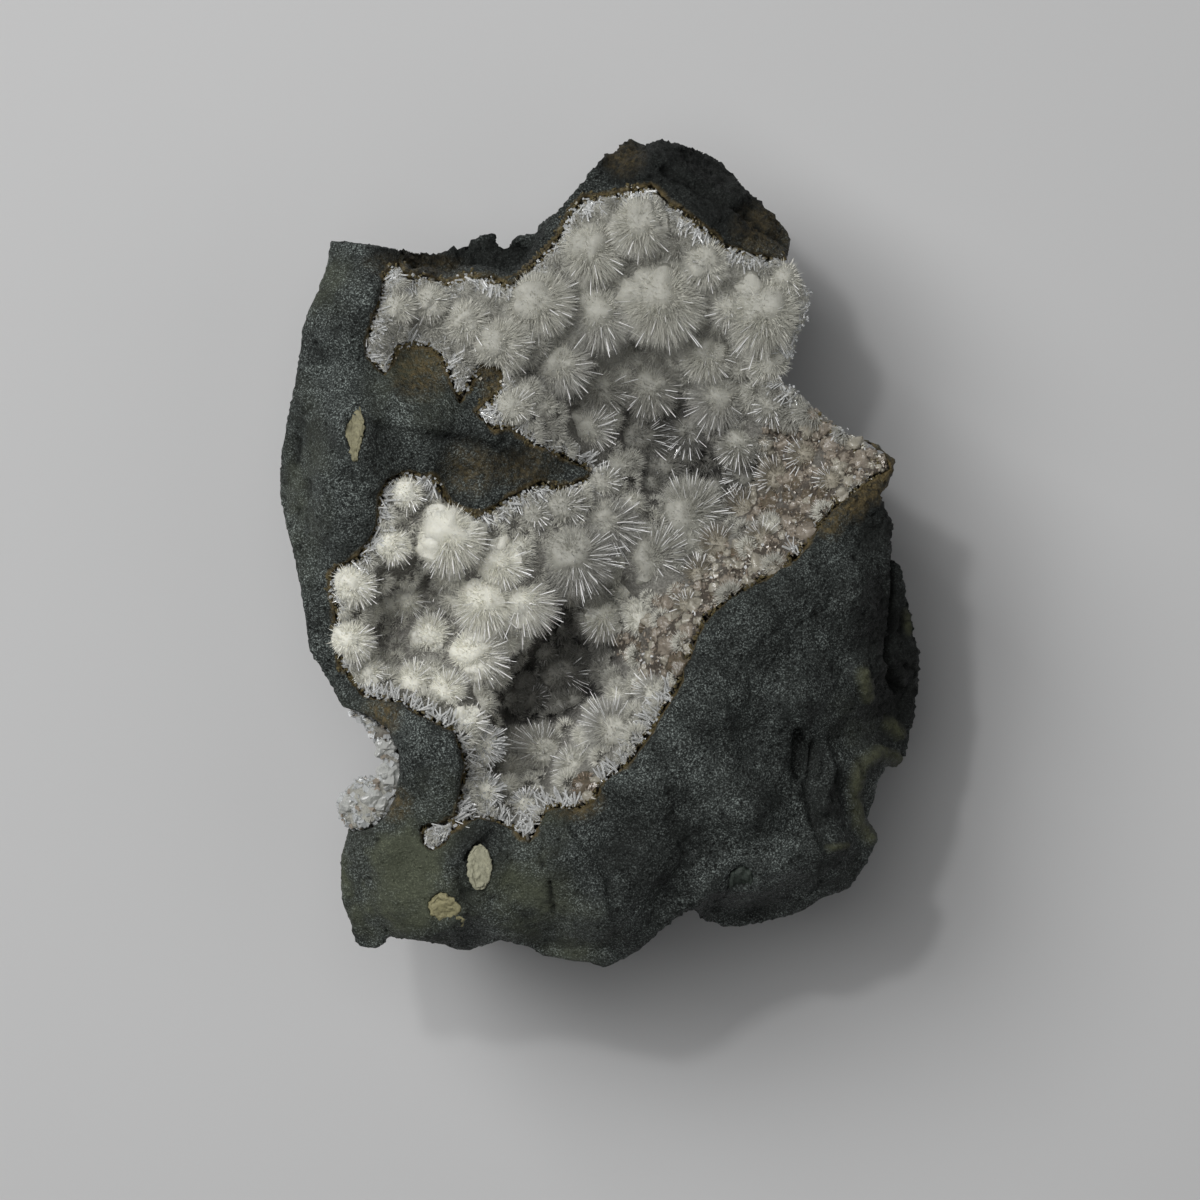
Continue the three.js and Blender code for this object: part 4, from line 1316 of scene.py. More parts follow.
UPPER_SPRAYS = (
    *sprays(Habit.SILKY, (4.8, 39.2, 4.6), (-1, 36.2, 5), (7.6, 30.4, 6.6), (12.8, 34.6, 3.8),
            (20, 28.6, 6.2), (22.4, 32.8, 2.8), (13, 24, 4.2), (20.4, 22.8, 3.4), (-12.2, 24.8, 4.6),
            (-7.4, 30, 5.2)),
    *sprays(Habit.LONG, (0, 28.6, 5.4), (-4.6, 22.4, 4.6), (-1.4, 15, 3.8), (15.6, 29, 3.2)),
    *sprays(Habit.SILKY, (-20.4, 30, 3.2), (-24, 29.2, 2.8), (-16, 27.6, 3.6), (-10.4, 17.4, 3)),
)
BOWL_SPRAYS = (
    *sprays(Habit.GREY, (0, 19.8, 4.4), (6, 20, 4.6), (4.8, 14.2, 5), (16.8, 13, 3.6),
            (20.6, 17.6, 3), (17.6, 9.4, 3)),
    *sprays(Habit.LONG, (14.4, 18.6, 4.8), (10.8, 14.8, 3.8)),
    *sprays(Habit.SILKY, (10.8, 4.6, 5.4), (6.2, -0.8, 5), (0.4, 8.4, 2.6), (-4.3, 5.6, 2.9),
            (-7.8, 4.6, 2.4)),
    *sprays(Habit.LONG, (0.8, 3.4, 5), (-3, -0.6, 5.8)),
)
LOWER_SPRAYS = (
    *sprays(Habit.SILKY, (-24.8, 0.8, 3), (-18, 1.8, 5.3), (-29.4, -4, 3.3), (-29.8, -10.6, 3.4),
            (-27.8, -14.4, 2.6), (-20.4, -9.8, 3), (-13.8, -5.8, 5), (-22.4, -15.4, 2.9),
            (-18.4, -16.6, 3.1), (-23, 7, 2.6), (-12, -1.4, 4)),
    *sprays(Habit.LONG, (-15, -12.4, 4.8), (-9.6, -5.8, 5.4), (-15.6, -20.4, 2.8),
            (1.4, -21.2, 4.6), (6.4, -16.8, 3)),
    *sprays(Habit.GREY, (-23.4, -5.8, 3), (-4.8, -14.8, 4.3), (0.6, -7.8, 3.8), (-8.4, -17.8, 3.2),
            (-7, -23.8, 4)),
    *sprays(Habit.GLASSY, (-14.4, -23.2, 3.4), (-14, -28.6, 2.9), (-8.8, -30.2, 2.3)),
    *sprays(Habit.SILKY, (-3, -25.6, 3)),
)
BAND_SPRAYS = sprays(Habit.GREY, (17.4, 5.2, 3.4), (21.4, 8.8, 3.2), (14.2, 1, 3), (24.6, 11.6, 2.6),
                     (19.4, 1.6, 2.6), (12, -2.6, 2.6), (10.4, -6.4, 2.2), (27.6, 8.6, 2.2))
NAMED_SPRAYS = (*UPPER_SPRAYS, *BOWL_SPRAYS, *LOWER_SPRAYS, *BAND_SPRAYS)
NEEDLE_FINISHES = {Habit.SILKY: SILKY, Habit.LONG: CLEAR, Habit.GREY: GREYISH, Habit.GLASSY: GLASSY}


@dataclass(frozen=True)
class Growth:
    """Sizes of the needles of one habit.

    Attributes:
        thickness: Radius at the foot.
        sides: Number of flat sides.
        pointed: Whether a needle tapers all the way from its foot to its tip.
        closeness: Needles for each square millimetre at the tips.
        shortest: Shortest needle, as a share of the spray's reach.
        heart: Radius of the closed heart, as a share of the spray's reach.
        sidedness: How much more it grows towards the open hollow than away from it.
    """

    thickness: float
    sides: int
    pointed: bool
    closeness: float
    shortest: float
    heart: float
    sidedness: float = 0.0


GROWTHS = {
    Habit.SILKY: Growth(0.052, 3, True, 22.2, 0.66, 0.6, 0.62),
    Habit.LONG: Growth(0.048, 3, True, 14.0, 0.6, 0.54, 0.55),
    Habit.GREY: Growth(0.05, 3, True, 16.8, 0.6, 0.54, 0.45),
    Habit.GLASSY: Growth(0.12, 4, False, 3.6, 0.75, 0.6, 0.3),
    Habit.BLADED: Growth(0.07, 4, False, 2.5, 0.85, 0.84),
}
BLUNT_RINGS = ((0.0, 1.0), (0.92, 0.75))


def needle_bundle(feet: np.ndarray, directions: np.ndarray, lengths: np.ndarray, radii: np.ndarray,
                  sides: int, pointed: bool, rng: np.random.Generator) -> Shape:
    """Makes many needles as one shape.

    Args:
        feet: Where each needle starts.
        directions: Unit vector of each needle.
        lengths: Length of each needle.
        radii: Radius of each needle at its foot.
        sides: Number of flat sides.
        pointed: Whether it tapers all the way, or is a prism with a short point.
        rng: Source of the turn of each needle.

    Returns:
        The needles.
    """
    count = len(feet)
    helper = np.where(np.abs(directions[:, 2:3]) < 0.9, [[0, 0, 1.0]], [[1.0, 0, 0]])
    across = np.cross(directions, helper)
    across /= np.linalg.norm(across, axis=1)[:, None]
    other = np.cross(directions, across)
    turn = rng.uniform(0, 2 * math.pi, count)
    stages = BLUNT_RINGS[:1] if pointed else BLUNT_RINGS
    rings = []
    for share, thick in stages:
        for k in range(sides):
            angle = turn + 2 * math.pi * k / sides
            out = across * np.cos(angle)[:, None] + other * np.sin(angle)[:, None]
            rings.append(feet + directions * (lengths * share)[:, None] + out * (radii * thick)[:, None])
    rings.append(feet + directions * lengths[:, None])
    points = np.stack(rings, axis=1).reshape(-1, 3)
    start = np.arange(count)[:, None] * len(rings)
    faces = []
    for k in range(sides):
        after = (k + 1) % sides
        if pointed:
            faces.extend(start + np.array([[k, after, sides]]))
        else:
            faces.extend(start + np.array([[k, after, sides + after, sides + k]]))
            faces.extend(start + np.array([[sides + k, sides + after, 2 * sides]]))
    return Shape(points, faces)


def ball_directions(count: int, rng: np.random.Generator) -> np.ndarray:
    """Gives evenly spread unit vectors with a little disorder.

    Args:
        count: How many.
        rng: Source of the disorder.

    Returns:
        The vectors.
    """
    index = np.arange(count) + 0.5
    z = 1 - 2 * index / count
    angle = index * math.pi * (1 + math.sqrt(5))
    flat = np.sqrt(np.clip(1 - z * z, 0, 1))
    even = np.stack([flat * np.cos(angle), flat * np.sin(angle), z], axis=1)
    even += rng.normal(0, 0.07, even.shape)
    return even / np.linalg.norm(even, axis=1)[:, None]


def ball(middle: np.ndarray, radius: float, rows: int, unevenness: float) -> Shape:
    """Makes a lumpy ball from the six sides of a cube.

    Args:
        middle: Its middle.
        radius: Its mean radius.
        rows: Faces along each side of the cube.
        unevenness: How far it departs from round, as a share of the radius.

    Returns:
        The ball.
    """
    steps = np.tan(np.linspace(-math.pi / 4, math.pi / 4, rows + 1))
    u, v = (grid.ravel() for grid in np.meshgrid(steps, steps, indexing="ij"))
    one = np.ones_like(u)
    points, faces = [], []
    near = (np.arange(rows)[:, None] * (rows + 1) + np.arange(rows)).ravel()
    square = np.stack([near, near + rows + 1, near + rows + 2, near + 1], axis=1)
    for axis in range(3):
        for sign in (1, -1):
            sides = [None, None, None]
            sides[axis], sides[(axis + 1) % 3], sides[(axis + 2) % 3] = sign * one, u, v
            order = square if sign > 0 else square[:, ::-1]
            faces.extend(order + len(points) * len(u))
            points.append(np.stack(sides, axis=1))
    points = np.vstack(points)
    points /= np.linalg.norm(points, axis=1)[:, None]
    at = Vector(middle)
    bulge = [noise.noise(Vector(p) * 1.7 + at) + 0.35 * noise.noise(Vector(p) * 4.3 + at) for p in points]
    swollen = radius * (1 + unevenness * np.array(bulge))
    return Shape(middle + points * swollen[:, None], faces)


class SprayField:
    """All the sprays of needles in the hollow."""

    rim_margin = 6
    lift = 0.12
    upward = 0.5
    slope_share = 1.6
    low_right = 0.4 * np.array([0.64, -0.77])
    quick_share = 0.35
    crowded_reach = 3.8
    least_upright = 0.5
    tip_clearance = 0.3
    scatter = 0.05
    foot_depth = 0.12
    fuzz_closeness = 9.0
    fuzz_depth = 0.86
    # Where the painted glint needles start, as a share of their length.
    glint_start = 0.55
    filler_spacing = 1.9
    deep_shade_below = 20.5
    high_above = 24.5
    foot_from = (-11.0, -16.0)
    bud_unevenness = 0.45
    bud_seed = 41

    def __init__(self, surface: TopSurface, seed: int) -> None:
        """Prepares the field.

        Args:
            surface: The lining that the sprays grow from.
            seed: Number that fixes the random draws.
        """
        self.surface = surface
        self.well_inside = spread(surface.inside.astype(float), self.rim_margin, np.minimum)
        self.rng = np.random.default_rng(seed)

    def middle(self, spray: Spray) -> np.ndarray:
        """Gives the point that a spray's needles grow from."""
        height = float(self.surface.at(self.surface.floor, *spray.place())[0])
        return np.array([spray.x, spray.y, height + self.lift * spray.reach])

    def axis(self, spray: Spray) -> np.ndarray:
        """Gives the direction that a spray faces."""
        out = self.surface.normal(*spray.place())[0] + np.array([0, 0, self.upward])
        return out / np.linalg.norm(out)

    def is_deep_inside(self, spray: Spray) -> bool:
        """Whether a spray stands well away from the crust's edge."""
        return bool(self.surface.at(self.well_inside, *spray.place())[0] > 0.5)

    def lean(self, spray: Spray) -> np.ndarray:
        """Gives the level direction from a spray out into the open hollow."""
        out = self.slope_share * self.surface.normal(*spray.place(), 3.0)[0][:2] + self.low_right
        return out / np.linalg.norm(out)

    def is_free(self, tips: np.ndarray, clearance: float) -> np.ndarray:
        """Whether tips stand clear of the lining and over the crust.

        Args:
            tips: The tips.
            clearance: How far below the lining they may be.

        Returns:
            True for each tip that does.
        """
        free = tips[:, 2] > self.surface.height(tips[:, 0], tips[:, 1]) - clearance
        return free & self.surface.is_inside(tips[:, 0], tips[:, 1])

    def needles(self, spray: Spray) -> Shape | None:
        """Makes the needles of one spray.

        Args:
            spray: The spray.

        Returns:
            Its needles, or None if none is free.
        """
        looks = GROWTHS[spray.habit]
        reach = spray.reach
        crowding = min(1.0, reach / self.crowded_reach) * 1
        count = int(4 * math.pi * reach ** 2 * looks.closeness * crowding)
        directions = ball_directions(count, self.rng)
        directions = directions[directions @ self.axis(spray) > -0.1]
        side = directions[:, :2] @ self.lean(spray)
        upright = risen(directions[:, 2], (self.least_upright, 0.4))
        wanted = np.clip(1 - looks.sidedness * (0.45 - side), 0.12, 1) * (1 - looks.sidedness * upright)
        kept = self.rng.random(len(directions)) < wanted
        directions, side, upright = directions[kept], side[kept], upright[kept]
        lengths = reach * self.rng.uniform(looks.shortest, 1.06, len(directions))
        lengths *= (1 - 0.14 * upright) * (1 - 0.16 * looks.sidedness * (1 - side))
        middle = self.middle(spray)
        jitter = self.rng.normal(0, self.scatter * reach, (len(directions), 3))
        tips = middle + directions * lengths[:, None]
        free = self.is_free(tips, self.tip_clearance)
        if not free.any():
            return None
        feet = (middle + jitter + directions * (looks.heart - self.foot_depth) * reach)[free]
        along = tips[free] - feet
        length = np.linalg.norm(along, axis=1)
        radii = looks.thickness * self.rng.uniform(0.55, 1.3, len(feet))
        return needle_bundle(feet, along / length[:, None], length, radii, looks.sides, looks.pointed,
                             self.rng)

    def heart(self, spray: Spray) -> tuple[np.ndarray, float]:
        """Gives the middle and the radius of a spray's heart.

        Args:
            spray: The spray.

        Returns:
            The middle and the radius.
        """
        looks = GROWTHS[spray.habit]
        middle = self.middle(spray)
        middle[:2] -= 0.16 * looks.sidedness * spray.reach * self.lean(spray)
        if spray.habit is Habit.BLADED:
            middle[2] -= 0.5 * spray.reach
        return middle, looks.heart * spray.reach

    def fuzz(self, spray: Spray) -> Shape:
        """Makes the short needles that cover a spray's heart.

        Args:
            spray: The spray.

        Returns:
            The needles.
        """
        middle, radius = self.heart(spray)
        directions = ball_directions(int(4 * math.pi * radius ** 2 * self.fuzz_closeness), self.rng)
        directions = directions[directions[:, 2] > 0.1]
        feet = middle + directions * radius * self.fuzz_depth
        lengths = radius * (1 - self.fuzz_depth) + self.rng.uniform(0.2, 1.0, len(feet))
        radii = self.rng.uniform(0.05, 0.095, len(feet))
        leaning = directions + self.rng.normal(0, 0.12, directions.shape)
        leaning /= np.linalg.norm(leaning, axis=1)[:, None]
        return needle_bundle(feet, leaning, lengths, radii, 3, True, self.rng)

    def painted_glints(self, spray: Spray) -> Shape | None:
        """Makes the few thick white needles that stand out of a spray's fringe: painted glints, whiter than
        the mineral's other needles.

        Args:
            spray: The spray.

        Returns:
            Its glint needles, or None if none is free.
        """
        count = int((3 if spray.y > 18 else 7) * spray.reach)
        directions = ball_directions(6 * count, self.rng)
        towards = np.append(self.lean(spray), 0.35)
        directions = directions[directions @ towards > self.rng.uniform(0.1, 1.1, len(directions))][:count]
        lengths = spray.reach * self.rng.uniform(0.8, 1.18, len(directions))
        middle = self.middle(spray)
        tips = middle + directions * lengths[:, None]
        free = self.is_free(tips, 0.0)
        if not free.any():
            return None
        directions, lengths = directions[free], lengths[free]
        start = self.glint_start * lengths
        radii = 0.035 + 0.05 * self.rng.random(len(lengths)) ** 2
        return needle_bundle(middle + directions * start[:, None], directions, lengths - start, radii, 4,
                             False, self.rng)

    def fillers(self, taken: Sequence[Spray]) -> list:
        """Gives small sprays for the lining between the named ones.

        Args:
            taken: The named sprays.

        Returns:
            The small sprays.
        """
        low = self.surface.origin
        high = low + self.surface.shape * self.surface.step
        found = []
        for x in np.arange(low[0], high[0], self.filler_spacing):
            for y in np.arange(low[1], high[1], self.filler_spacing):
                px, py = x + self.rng.uniform(-0.8, 0.8), y + self.rng.uniform(-0.8, 0.8)
                reach = self.rng.uniform(1.4, 2.6)
                if not self.surface.is_inside(np.array([px]), np.array([py]))[0]:
                    continue
                if in_thomsonite(px, py) > self.rng.uniform(0.2, 0.9):
                    continue
                if any(math.hypot(s.x - px, s.y - py) < 0.65 * s.reach for s in taken):
                    continue
                habit = Habit.GREY if self.rng.random() < 0.5 else Habit.SILKY
                found.append(Spray(px, py, reach, habit))
        return found

    def build(self, name: str, members: Sequence[Spray], finish: CrystalFinish) -> bpy.types.Object:
        """Makes one piece of the needles of several sprays.

        Args:
            name: Name of the piece.
            members: The sprays.
            finish: Finish of the needles.

        Returns:
            The piece.
        """
        shape = joined(s for s in map(self.needles, members) if s is not None)
        return shape.to_piece(name, finish.material())

    def hearts(self, name: str, members: Sequence[Spray], milky: Milky,
               unevenness: float = 0.26, buds: int = 0) -> bpy.types.Object:
        """Makes the closed hearts of several sprays.

        Args:
            name: Name of the piece.
            members: The sprays.
            milky: Finish of the hearts.
            unevenness: How far they depart from round, as a share of their radius.
            buds: Smaller lumps that have grown together with each heart.

        Returns:
            The piece.
        """
        balls = []
        rng = np.random.default_rng(self.bud_seed)
        for spray in members:
            rows = 9 if spray.reach > 2.8 else 5
            middle, radius = self.heart(spray)
            balls.append(ball(middle, radius, rows, unevenness))
            for _ in range(buds):
                angle, size = rng.uniform(0, 2 * math.pi), radius * rng.uniform(0.45, 0.75)
                way = np.array([math.cos(angle), math.sin(angle), rng.uniform(-0.1, 0.35)])
                end = middle + (0.7 * radius + 1.1 * size) * way
                if self.surface.is_inside(end[:1], end[1:2])[0]:
                    balls.append(ball(middle + 0.7 * radius * way, size, 5, self.bud_unevenness))
        return joined(balls).to_piece(name, milky.material(), smooth=True)

    def grouped(self, fillers: Sequence[Spray]) -> dict:
        """Sorts the sprays by the part of the hollow that they stand in.

        Args:
            fillers: The small sprays.

        Returns:
            Lists of sprays by the name of the part.
        """
        from_x, from_y = self.foot_from
        foot = [spray for spray in LOWER_SPRAYS if spray.x > from_x and spray.y < from_y]
        high = [spray for spray in fillers if spray.y < 10 and self.middle(spray)[2] > self.high_above]
        parts = {"upper": UPPER_SPRAYS, "bowl": BOWL_SPRAYS,
                 "lower": [spray for spray in LOWER_SPRAYS if spray not in foot], "foot": foot,
                 "band": BAND_SPRAYS, "high": high,
                 "small": [spray for spray in fillers if spray not in high]}
        # Sprays low in the deep hole form their own part, painted darker as shade.
        deep_shade = [spray for members in parts.values() for spray in members
                if self.middle(spray)[2] < self.deep_shade_below]
        kept = {part: [spray for spray in members if spray not in deep_shade] for part, members in parts.items()}
        return {**kept, "deep_shade": deep_shade}

    def part_pieces(self, part: str, members: Sequence[Spray]) -> list:
        """Makes the hearts, the fuzz and the needles of one part of the hollow.

        Args:
            part: Name of the part.
            members: Its sprays.

        Returns:
            The pieces.
        """
        look = REGIONS[part]
        hearted = [s for s in members if s in NAMED_SPRAYS or (s.reach > 2.2 and self.is_deep_inside(s))]
        # Hearts, fuzz and needles take the part's tone: painted shade.
        milky = Milky(f"milky_{part}", toned(Milky.colour, look.heart * look.tone, look.tint))
        pieces = [self.hearts(f"{part}_hearts", hearted, milky, buds=look.buds)]
        fuzz = CrystalFinish(f"{part}_fuzz", toned(SILKY.colour, look.tone, look.tint), 0.3, 0.0)
        shape = joined(self.fuzz(spray) for spray in hearted)
        pieces.append(shape.to_piece(f"{part}_fuzz", fuzz.material()))
        for habit, finish in NEEDLE_FINISHES.items():
            chosen = [spray for spray in members if spray.habit is habit]
            if chosen:
                finish = replace(finish, name=f"{part}_{finish.name}",
                                 colour=toned(finish.colour, look.tone, look.tint))
                pieces.append(self.build(f"{part}_{habit.value}_needles", chosen, finish))
        return pieces

    def build_all(self) -> list:
        """Builds all the sprays and the white needles that stand in for glints as painted highlights.

        Returns:
            The pieces.
        """
        pieces = []
        for part, members in self.grouped(self.fillers(NAMED_SPRAYS)).items():
            pieces += self.part_pieces(part, members)
        shape = joined(s for s in map(self.painted_glints, NAMED_SPRAYS) if s is not None)
        return [*pieces, shape.to_piece("painted_glint_needles", GLINT_WHITE.material())]


def grains(places: np.ndarray, sizes: np.ndarray, rng: np.random.Generator) -> Shape:
    """Makes small flat crystals that lie every way.

    Args:
        places: Their middles.
        sizes: Half of their length, width and thickness.
        rng: Source of their directions.

    Returns:
        The crystals.
    """
    turns = rng.normal(0, 1, (len(places), 4))
    turns /= np.linalg.norm(turns, axis=1)[:, None]
    w, x, y, z = turns.T
    rows = (
        (1 - 2 * (y * y + z * z), 2 * (x * y - w * z), 2 * (x * z + w * y)),
        (2 * (x * y + w * z), 1 - 2 * (x * x + z * z), 2 * (y * z - w * x)),
        (2 * (x * z - w * y), 2 * (y * z + w * x), 1 - 2 * (x * x + y * y)),
    )
    axes = np.array(rows).transpose(2, 0, 1)
    corners = np.array([[i, j, k] for i in (-1, 1) for j in (-1, 1) for k in (-1, 1)], dtype=float)
    local = corners[None] * sizes[:, None, :]
    local[:, 4:, 1] *= 0.6
    points = places[:, None, :] + np.einsum("nij,nkj->nki", axes, local)
    box = np.array([[0, 1, 3, 2], [4, 6, 7, 5], [0, 4, 5, 1], [2, 3, 7, 6], [0, 2, 6, 4], [1, 5, 7, 3]])
    faces = (np.arange(len(places))[:, None, None] * 8 + box[None]).reshape(-1, 4)
    return Shape(points.reshape(-1, 3), list(faces))


THOMSONITE_BAND = (
    (33, 10.5, 2.6), (29.5, 10.5, 4.2), (26, 6.5, 4.2), (23, 3.5, 4.2), (20, 0.5, 4.2),
    (17, -2, 4.2), (13.5, -4.5, 4.2), (10, -7.5, 4.4), (8, -11, 4.4), (6.5, -14, 3.4),
    (23, 9.5, 4.4), (19.6, 5.5, 3.4), (3.4, -11, 2.4), (25.5, 14, 3.4), (22, 13.5, 3),
    (-1.5, -28.5, 2.6),
)


def in_thomsonite(x: float, y: float) -> float:
    """Gives how far a place lies in the thomsonite band.

    Args:
        x: Place along the width.
        y: Place along the length.

    Returns:
        A share from 0 to 1.
    """
    best = 0.0
    for px, py, radius in THOMSONITE_BAND:
        best = max(best, 1.6 * (1 - math.hypot(x - px, y - py) / radius))
    return min(1.0, best)


@dataclass(frozen=True)
class Thomsonite:
    """The pinkish band of lumps and small flat crystals.

    Attributes:
        closeness: Crystals for each square millimetre.
        longest: Half the length of the longest crystal.
        spacing: Distance between lumps.
        tries: Places that are tried for a lump.
        span: Two corners of the area that it is in.
        dark_middle: Middle of its darkest part.
        dark_reach: Distance at which the darkness has faded out.
        unevenness: How far the lumps depart from round, as a share of their radius.
    """

    closeness: float = 8.0
    longest: float = 0.3
    spacing: float = 1.0
    tries: int = 3600
    span: tuple = ((-6.0, -32.0), (36.0, 18.0))
    dark_middle: tuple = (24, 6)
    dark_reach: float = 8.0
    unevenness: float = 0.6

    def lumps(self, surface: TopSurface) -> dict:
        """Places the band's lumps in its three shades.

        Args:
            surface: The lining under them.

        Returns:
            The lumps by the name of their shade.
        """
        rng = np.random.default_rng(31)
        found = {shade: [] for shade in THOMSONITE_SHADES}
        taken = []
        for x, y in rng.uniform(*self.span, (self.tries, 2)):
            share = in_thomsonite(x, y)
            if share < rng.uniform(0.15, 0.6) or not surface.is_inside(np.array([x]), np.array([y]))[0]:
                continue
            reach = rng.uniform(0.6, 1.0) if rng.random() < 0.6 else rng.uniform(1.0, 1.8)
            if any(math.hypot(x - a, y - b) < self.spacing * 0.5 * (reach + c) for a, b, c in taken):
                continue
            taken.append((x, y, reach))
            dark = max(0.0, 1 - math.dist((x, y), self.dark_middle) / self.dark_reach)
            shade = rng.choice(list(found), p=(0.4, 0.45 - 0.4 * dark, 0.15 + 0.4 * dark))
            found[shade].append(Spray(x, y, reach, Habit.BLADED))
        return found

    def build(self, growth: SprayField) -> list:
        """Builds the band's lumps, blades and small crystals.

        Args:
            growth: The field of sprays, which makes the lumps too.

        Returns:
            The pieces.
        """
        surface, pieces = growth.surface, []
        for shade, members in self.lumps(surface).items():
            lump_finish, blade_finish = THOMSONITE_SHADES[shade]
            name = f"thomsonite_{shade}"
            pieces.append(growth.hearts(f"{name}_lumps", members, lump_finish, self.unevenness))
            pieces.append(growth.build(f"{name}_blades", members, blade_finish))
        rng = np.random.default_rng(11)
        low, high = np.array(self.span)
        count = int((high - low).prod() * self.closeness * (1))
        places = rng.uniform(low, high, (count, 2))
        share = np.array([in_thomsonite(x, y) for x, y in places])
        chosen = (rng.random(count) < share ** 1.5) & surface.is_inside(places[:, 0], places[:, 1])
        places = places[chosen]
        heights = surface.height(places[:, 0], places[:, 1]) + rng.uniform(-0.1, 0.25, len(places))
        middles = np.column_stack([places, heights])
        length = rng.uniform(0.3, 1, len(places)) ** 1.6 * self.longest
        sizes = np.column_stack([length, length * rng.uniform(0.5, 0.9, len(places)), 0.35 * length])
        kind = rng.choice(3, len(places), p=(0.62, 0.28, 0.1))
        for number, finish in enumerate((PINKISH, PALE_GRAINS, GLASSY)):
            shape = grains(middles[kind == number], sizes[kind == number], rng)
            pieces.append(shape.to_piece(f"thomsonite_{finish.name}", finish.material()))
        return pieces


@dataclass(frozen=True)
class RimCrystals:
    """Glassy broken blades and grains along the edge of the crust.

    Attributes:
        spacing: Distance between fans along the edge.
        blades: Blades in each fan.
        edge_blades: Blades at each place of the broken edge.
        edge_depth: How far down the broken edge they go.
        scatter: How far the grains stray.
    """

    spacing: float = 0.85
    scatter: float = 0.36
    blades: int = 8
    edge_blades: int = 60
    edge_depth: float = 3.0

    def build(self, surface: TopSurface) -> list:
        """Builds the fans and grains.

        Args:
            surface: The lining whose edge they follow.

        Returns:
            The pieces.
        """
        rng = np.random.default_rng(5)
        soft = blurred(surface.inside.astype(float), 3)
        slope = np.stack(np.gradient(soft), axis=-1)
        edge = surface.inside & (spread(surface.inside.astype(float), 1, np.minimum) < 0.5)
        found = []
        for i, j in zip(*np.nonzero(edge)):
            place = surface.origin + np.array([i, j]) * surface.step
            if all(np.hypot(*(place - other[0])) > self.spacing for other in found):
                inward = slope[i, j] / (np.linalg.norm(slope[i, j]) + 1e-9)
                found.append((place, inward))
        places = np.array([f[0] for f in found])
        inward = np.array([f[1] for f in found])
        pink = np.array([in_thomsonite(x, y) > 0.3 for x, y in places])
        beyond = places - 0.9 * inward
        stony = np.isfinite(surface.at(surface.stone_top, beyond[:, 0], beyond[:, 1]))
        pieces = [self.fans(surface, places[~pink], inward[~pink], rng),
                  self.broken_edge(surface, places[~stony], inward[~stony])]
        for name, chosen, finish, amount in (("rim_clear_grains", ~pink, CLEAR_GRAINS, 5),
                                             ("rim_rusty_grains", stony | pink, RUSTY_GRAINS, 6)):
            middles = np.repeat(places[chosen], amount, axis=0)
            outward = np.where(stony, 0.6, -0.5) if finish is RUSTY_GRAINS else np.full(len(places), 0.0)
            moved = inward[chosen] * outward[chosen, None]
            middles = middles - np.repeat(moved, amount, axis=0) * self.spacing
            middles = middles + rng.normal(0, self.scatter, middles.shape)
            z = surface.height(middles[:, 0], middles[:, 1]) + rng.uniform(-0.1, 0.2, len(middles))
            size = rng.uniform(0.05, 0.2, (len(middles), 3))
            shape = grains(np.column_stack([middles, z]), size, rng)
            pieces.append(shape.to_piece(name, finish.material()))
        return pieces

    def fans(self, surface: TopSurface, places: np.ndarray, inward: np.ndarray,
             rng: np.random.Generator) -> bpy.types.Object:
        """Makes the fans of blades.

        Args:
            surface: The lining.
            places: Where the fans stand.
            inward: Directions into the hollow at those places.
            rng: Source of the blades' directions.

        Returns:
            The piece.
        """
        feet = np.repeat(places, self.blades, axis=0)
        base = np.arctan2(inward[:, 1], inward[:, 0])
        angle = np.repeat(base, self.blades) + rng.normal(0, 0.6, len(feet))
        lift = rng.uniform(0.0, 0.7, len(feet))
        directions = np.column_stack([np.cos(angle) * np.cos(lift), np.sin(angle) * np.cos(lift),
                                      np.sin(lift)])
        lengths = rng.uniform(0.7, 2.2, len(feet))
        feet = feet + rng.normal(0, 0.25, feet.shape)
        z = surface.height(feet[:, 0], feet[:, 1]) - 0.15
        radii = rng.uniform(0.07, 0.17, len(feet))
        shape = needle_bundle(np.column_stack([feet, z]), directions, lengths, radii, 4, False, rng)
        return shape.to_piece("rim_blades", GLASSY.material())

    def broken_edge(self, surface: TopSurface, places: np.ndarray, inward: np.ndarray) -> bpy.types.Object:
        """Makes the short crystals that show on the crust's broken edge, where no stone is beside it.

        Args:
            surface: The lining.
            places: Places along that edge.
            inward: Directions into the hollow at those places.

        Returns:
            The piece.
        """
        rng = np.random.default_rng(17)
        inward = np.repeat(inward, self.edge_blades, axis=0)
        along = np.stack([-inward[:, 1], inward[:, 0]], axis=1)
        feet = np.repeat(places, self.edge_blades, axis=0) + 0.25 * inward
        feet += along * rng.uniform(-0.5, 0.5, (len(feet), 1)) * self.spacing
        z = surface.height(feet[:, 0], feet[:, 1]) - rng.uniform(0.0, self.edge_depth, len(feet))
        directions = np.column_stack([-inward, np.zeros(len(feet))]) + rng.normal(0, 0.6, (len(feet), 3))
        directions /= np.linalg.norm(directions, axis=1)[:, None]
        lengths, radii = rng.uniform(0.5, 0.95, len(feet)), rng.uniform(0.07, 0.16, len(feet))
        shape = needle_bundle(np.column_stack([feet, z]), directions, lengths, radii, 3, True, rng)
        return shape.to_piece("rim_broken_edge", GREYISH.material())


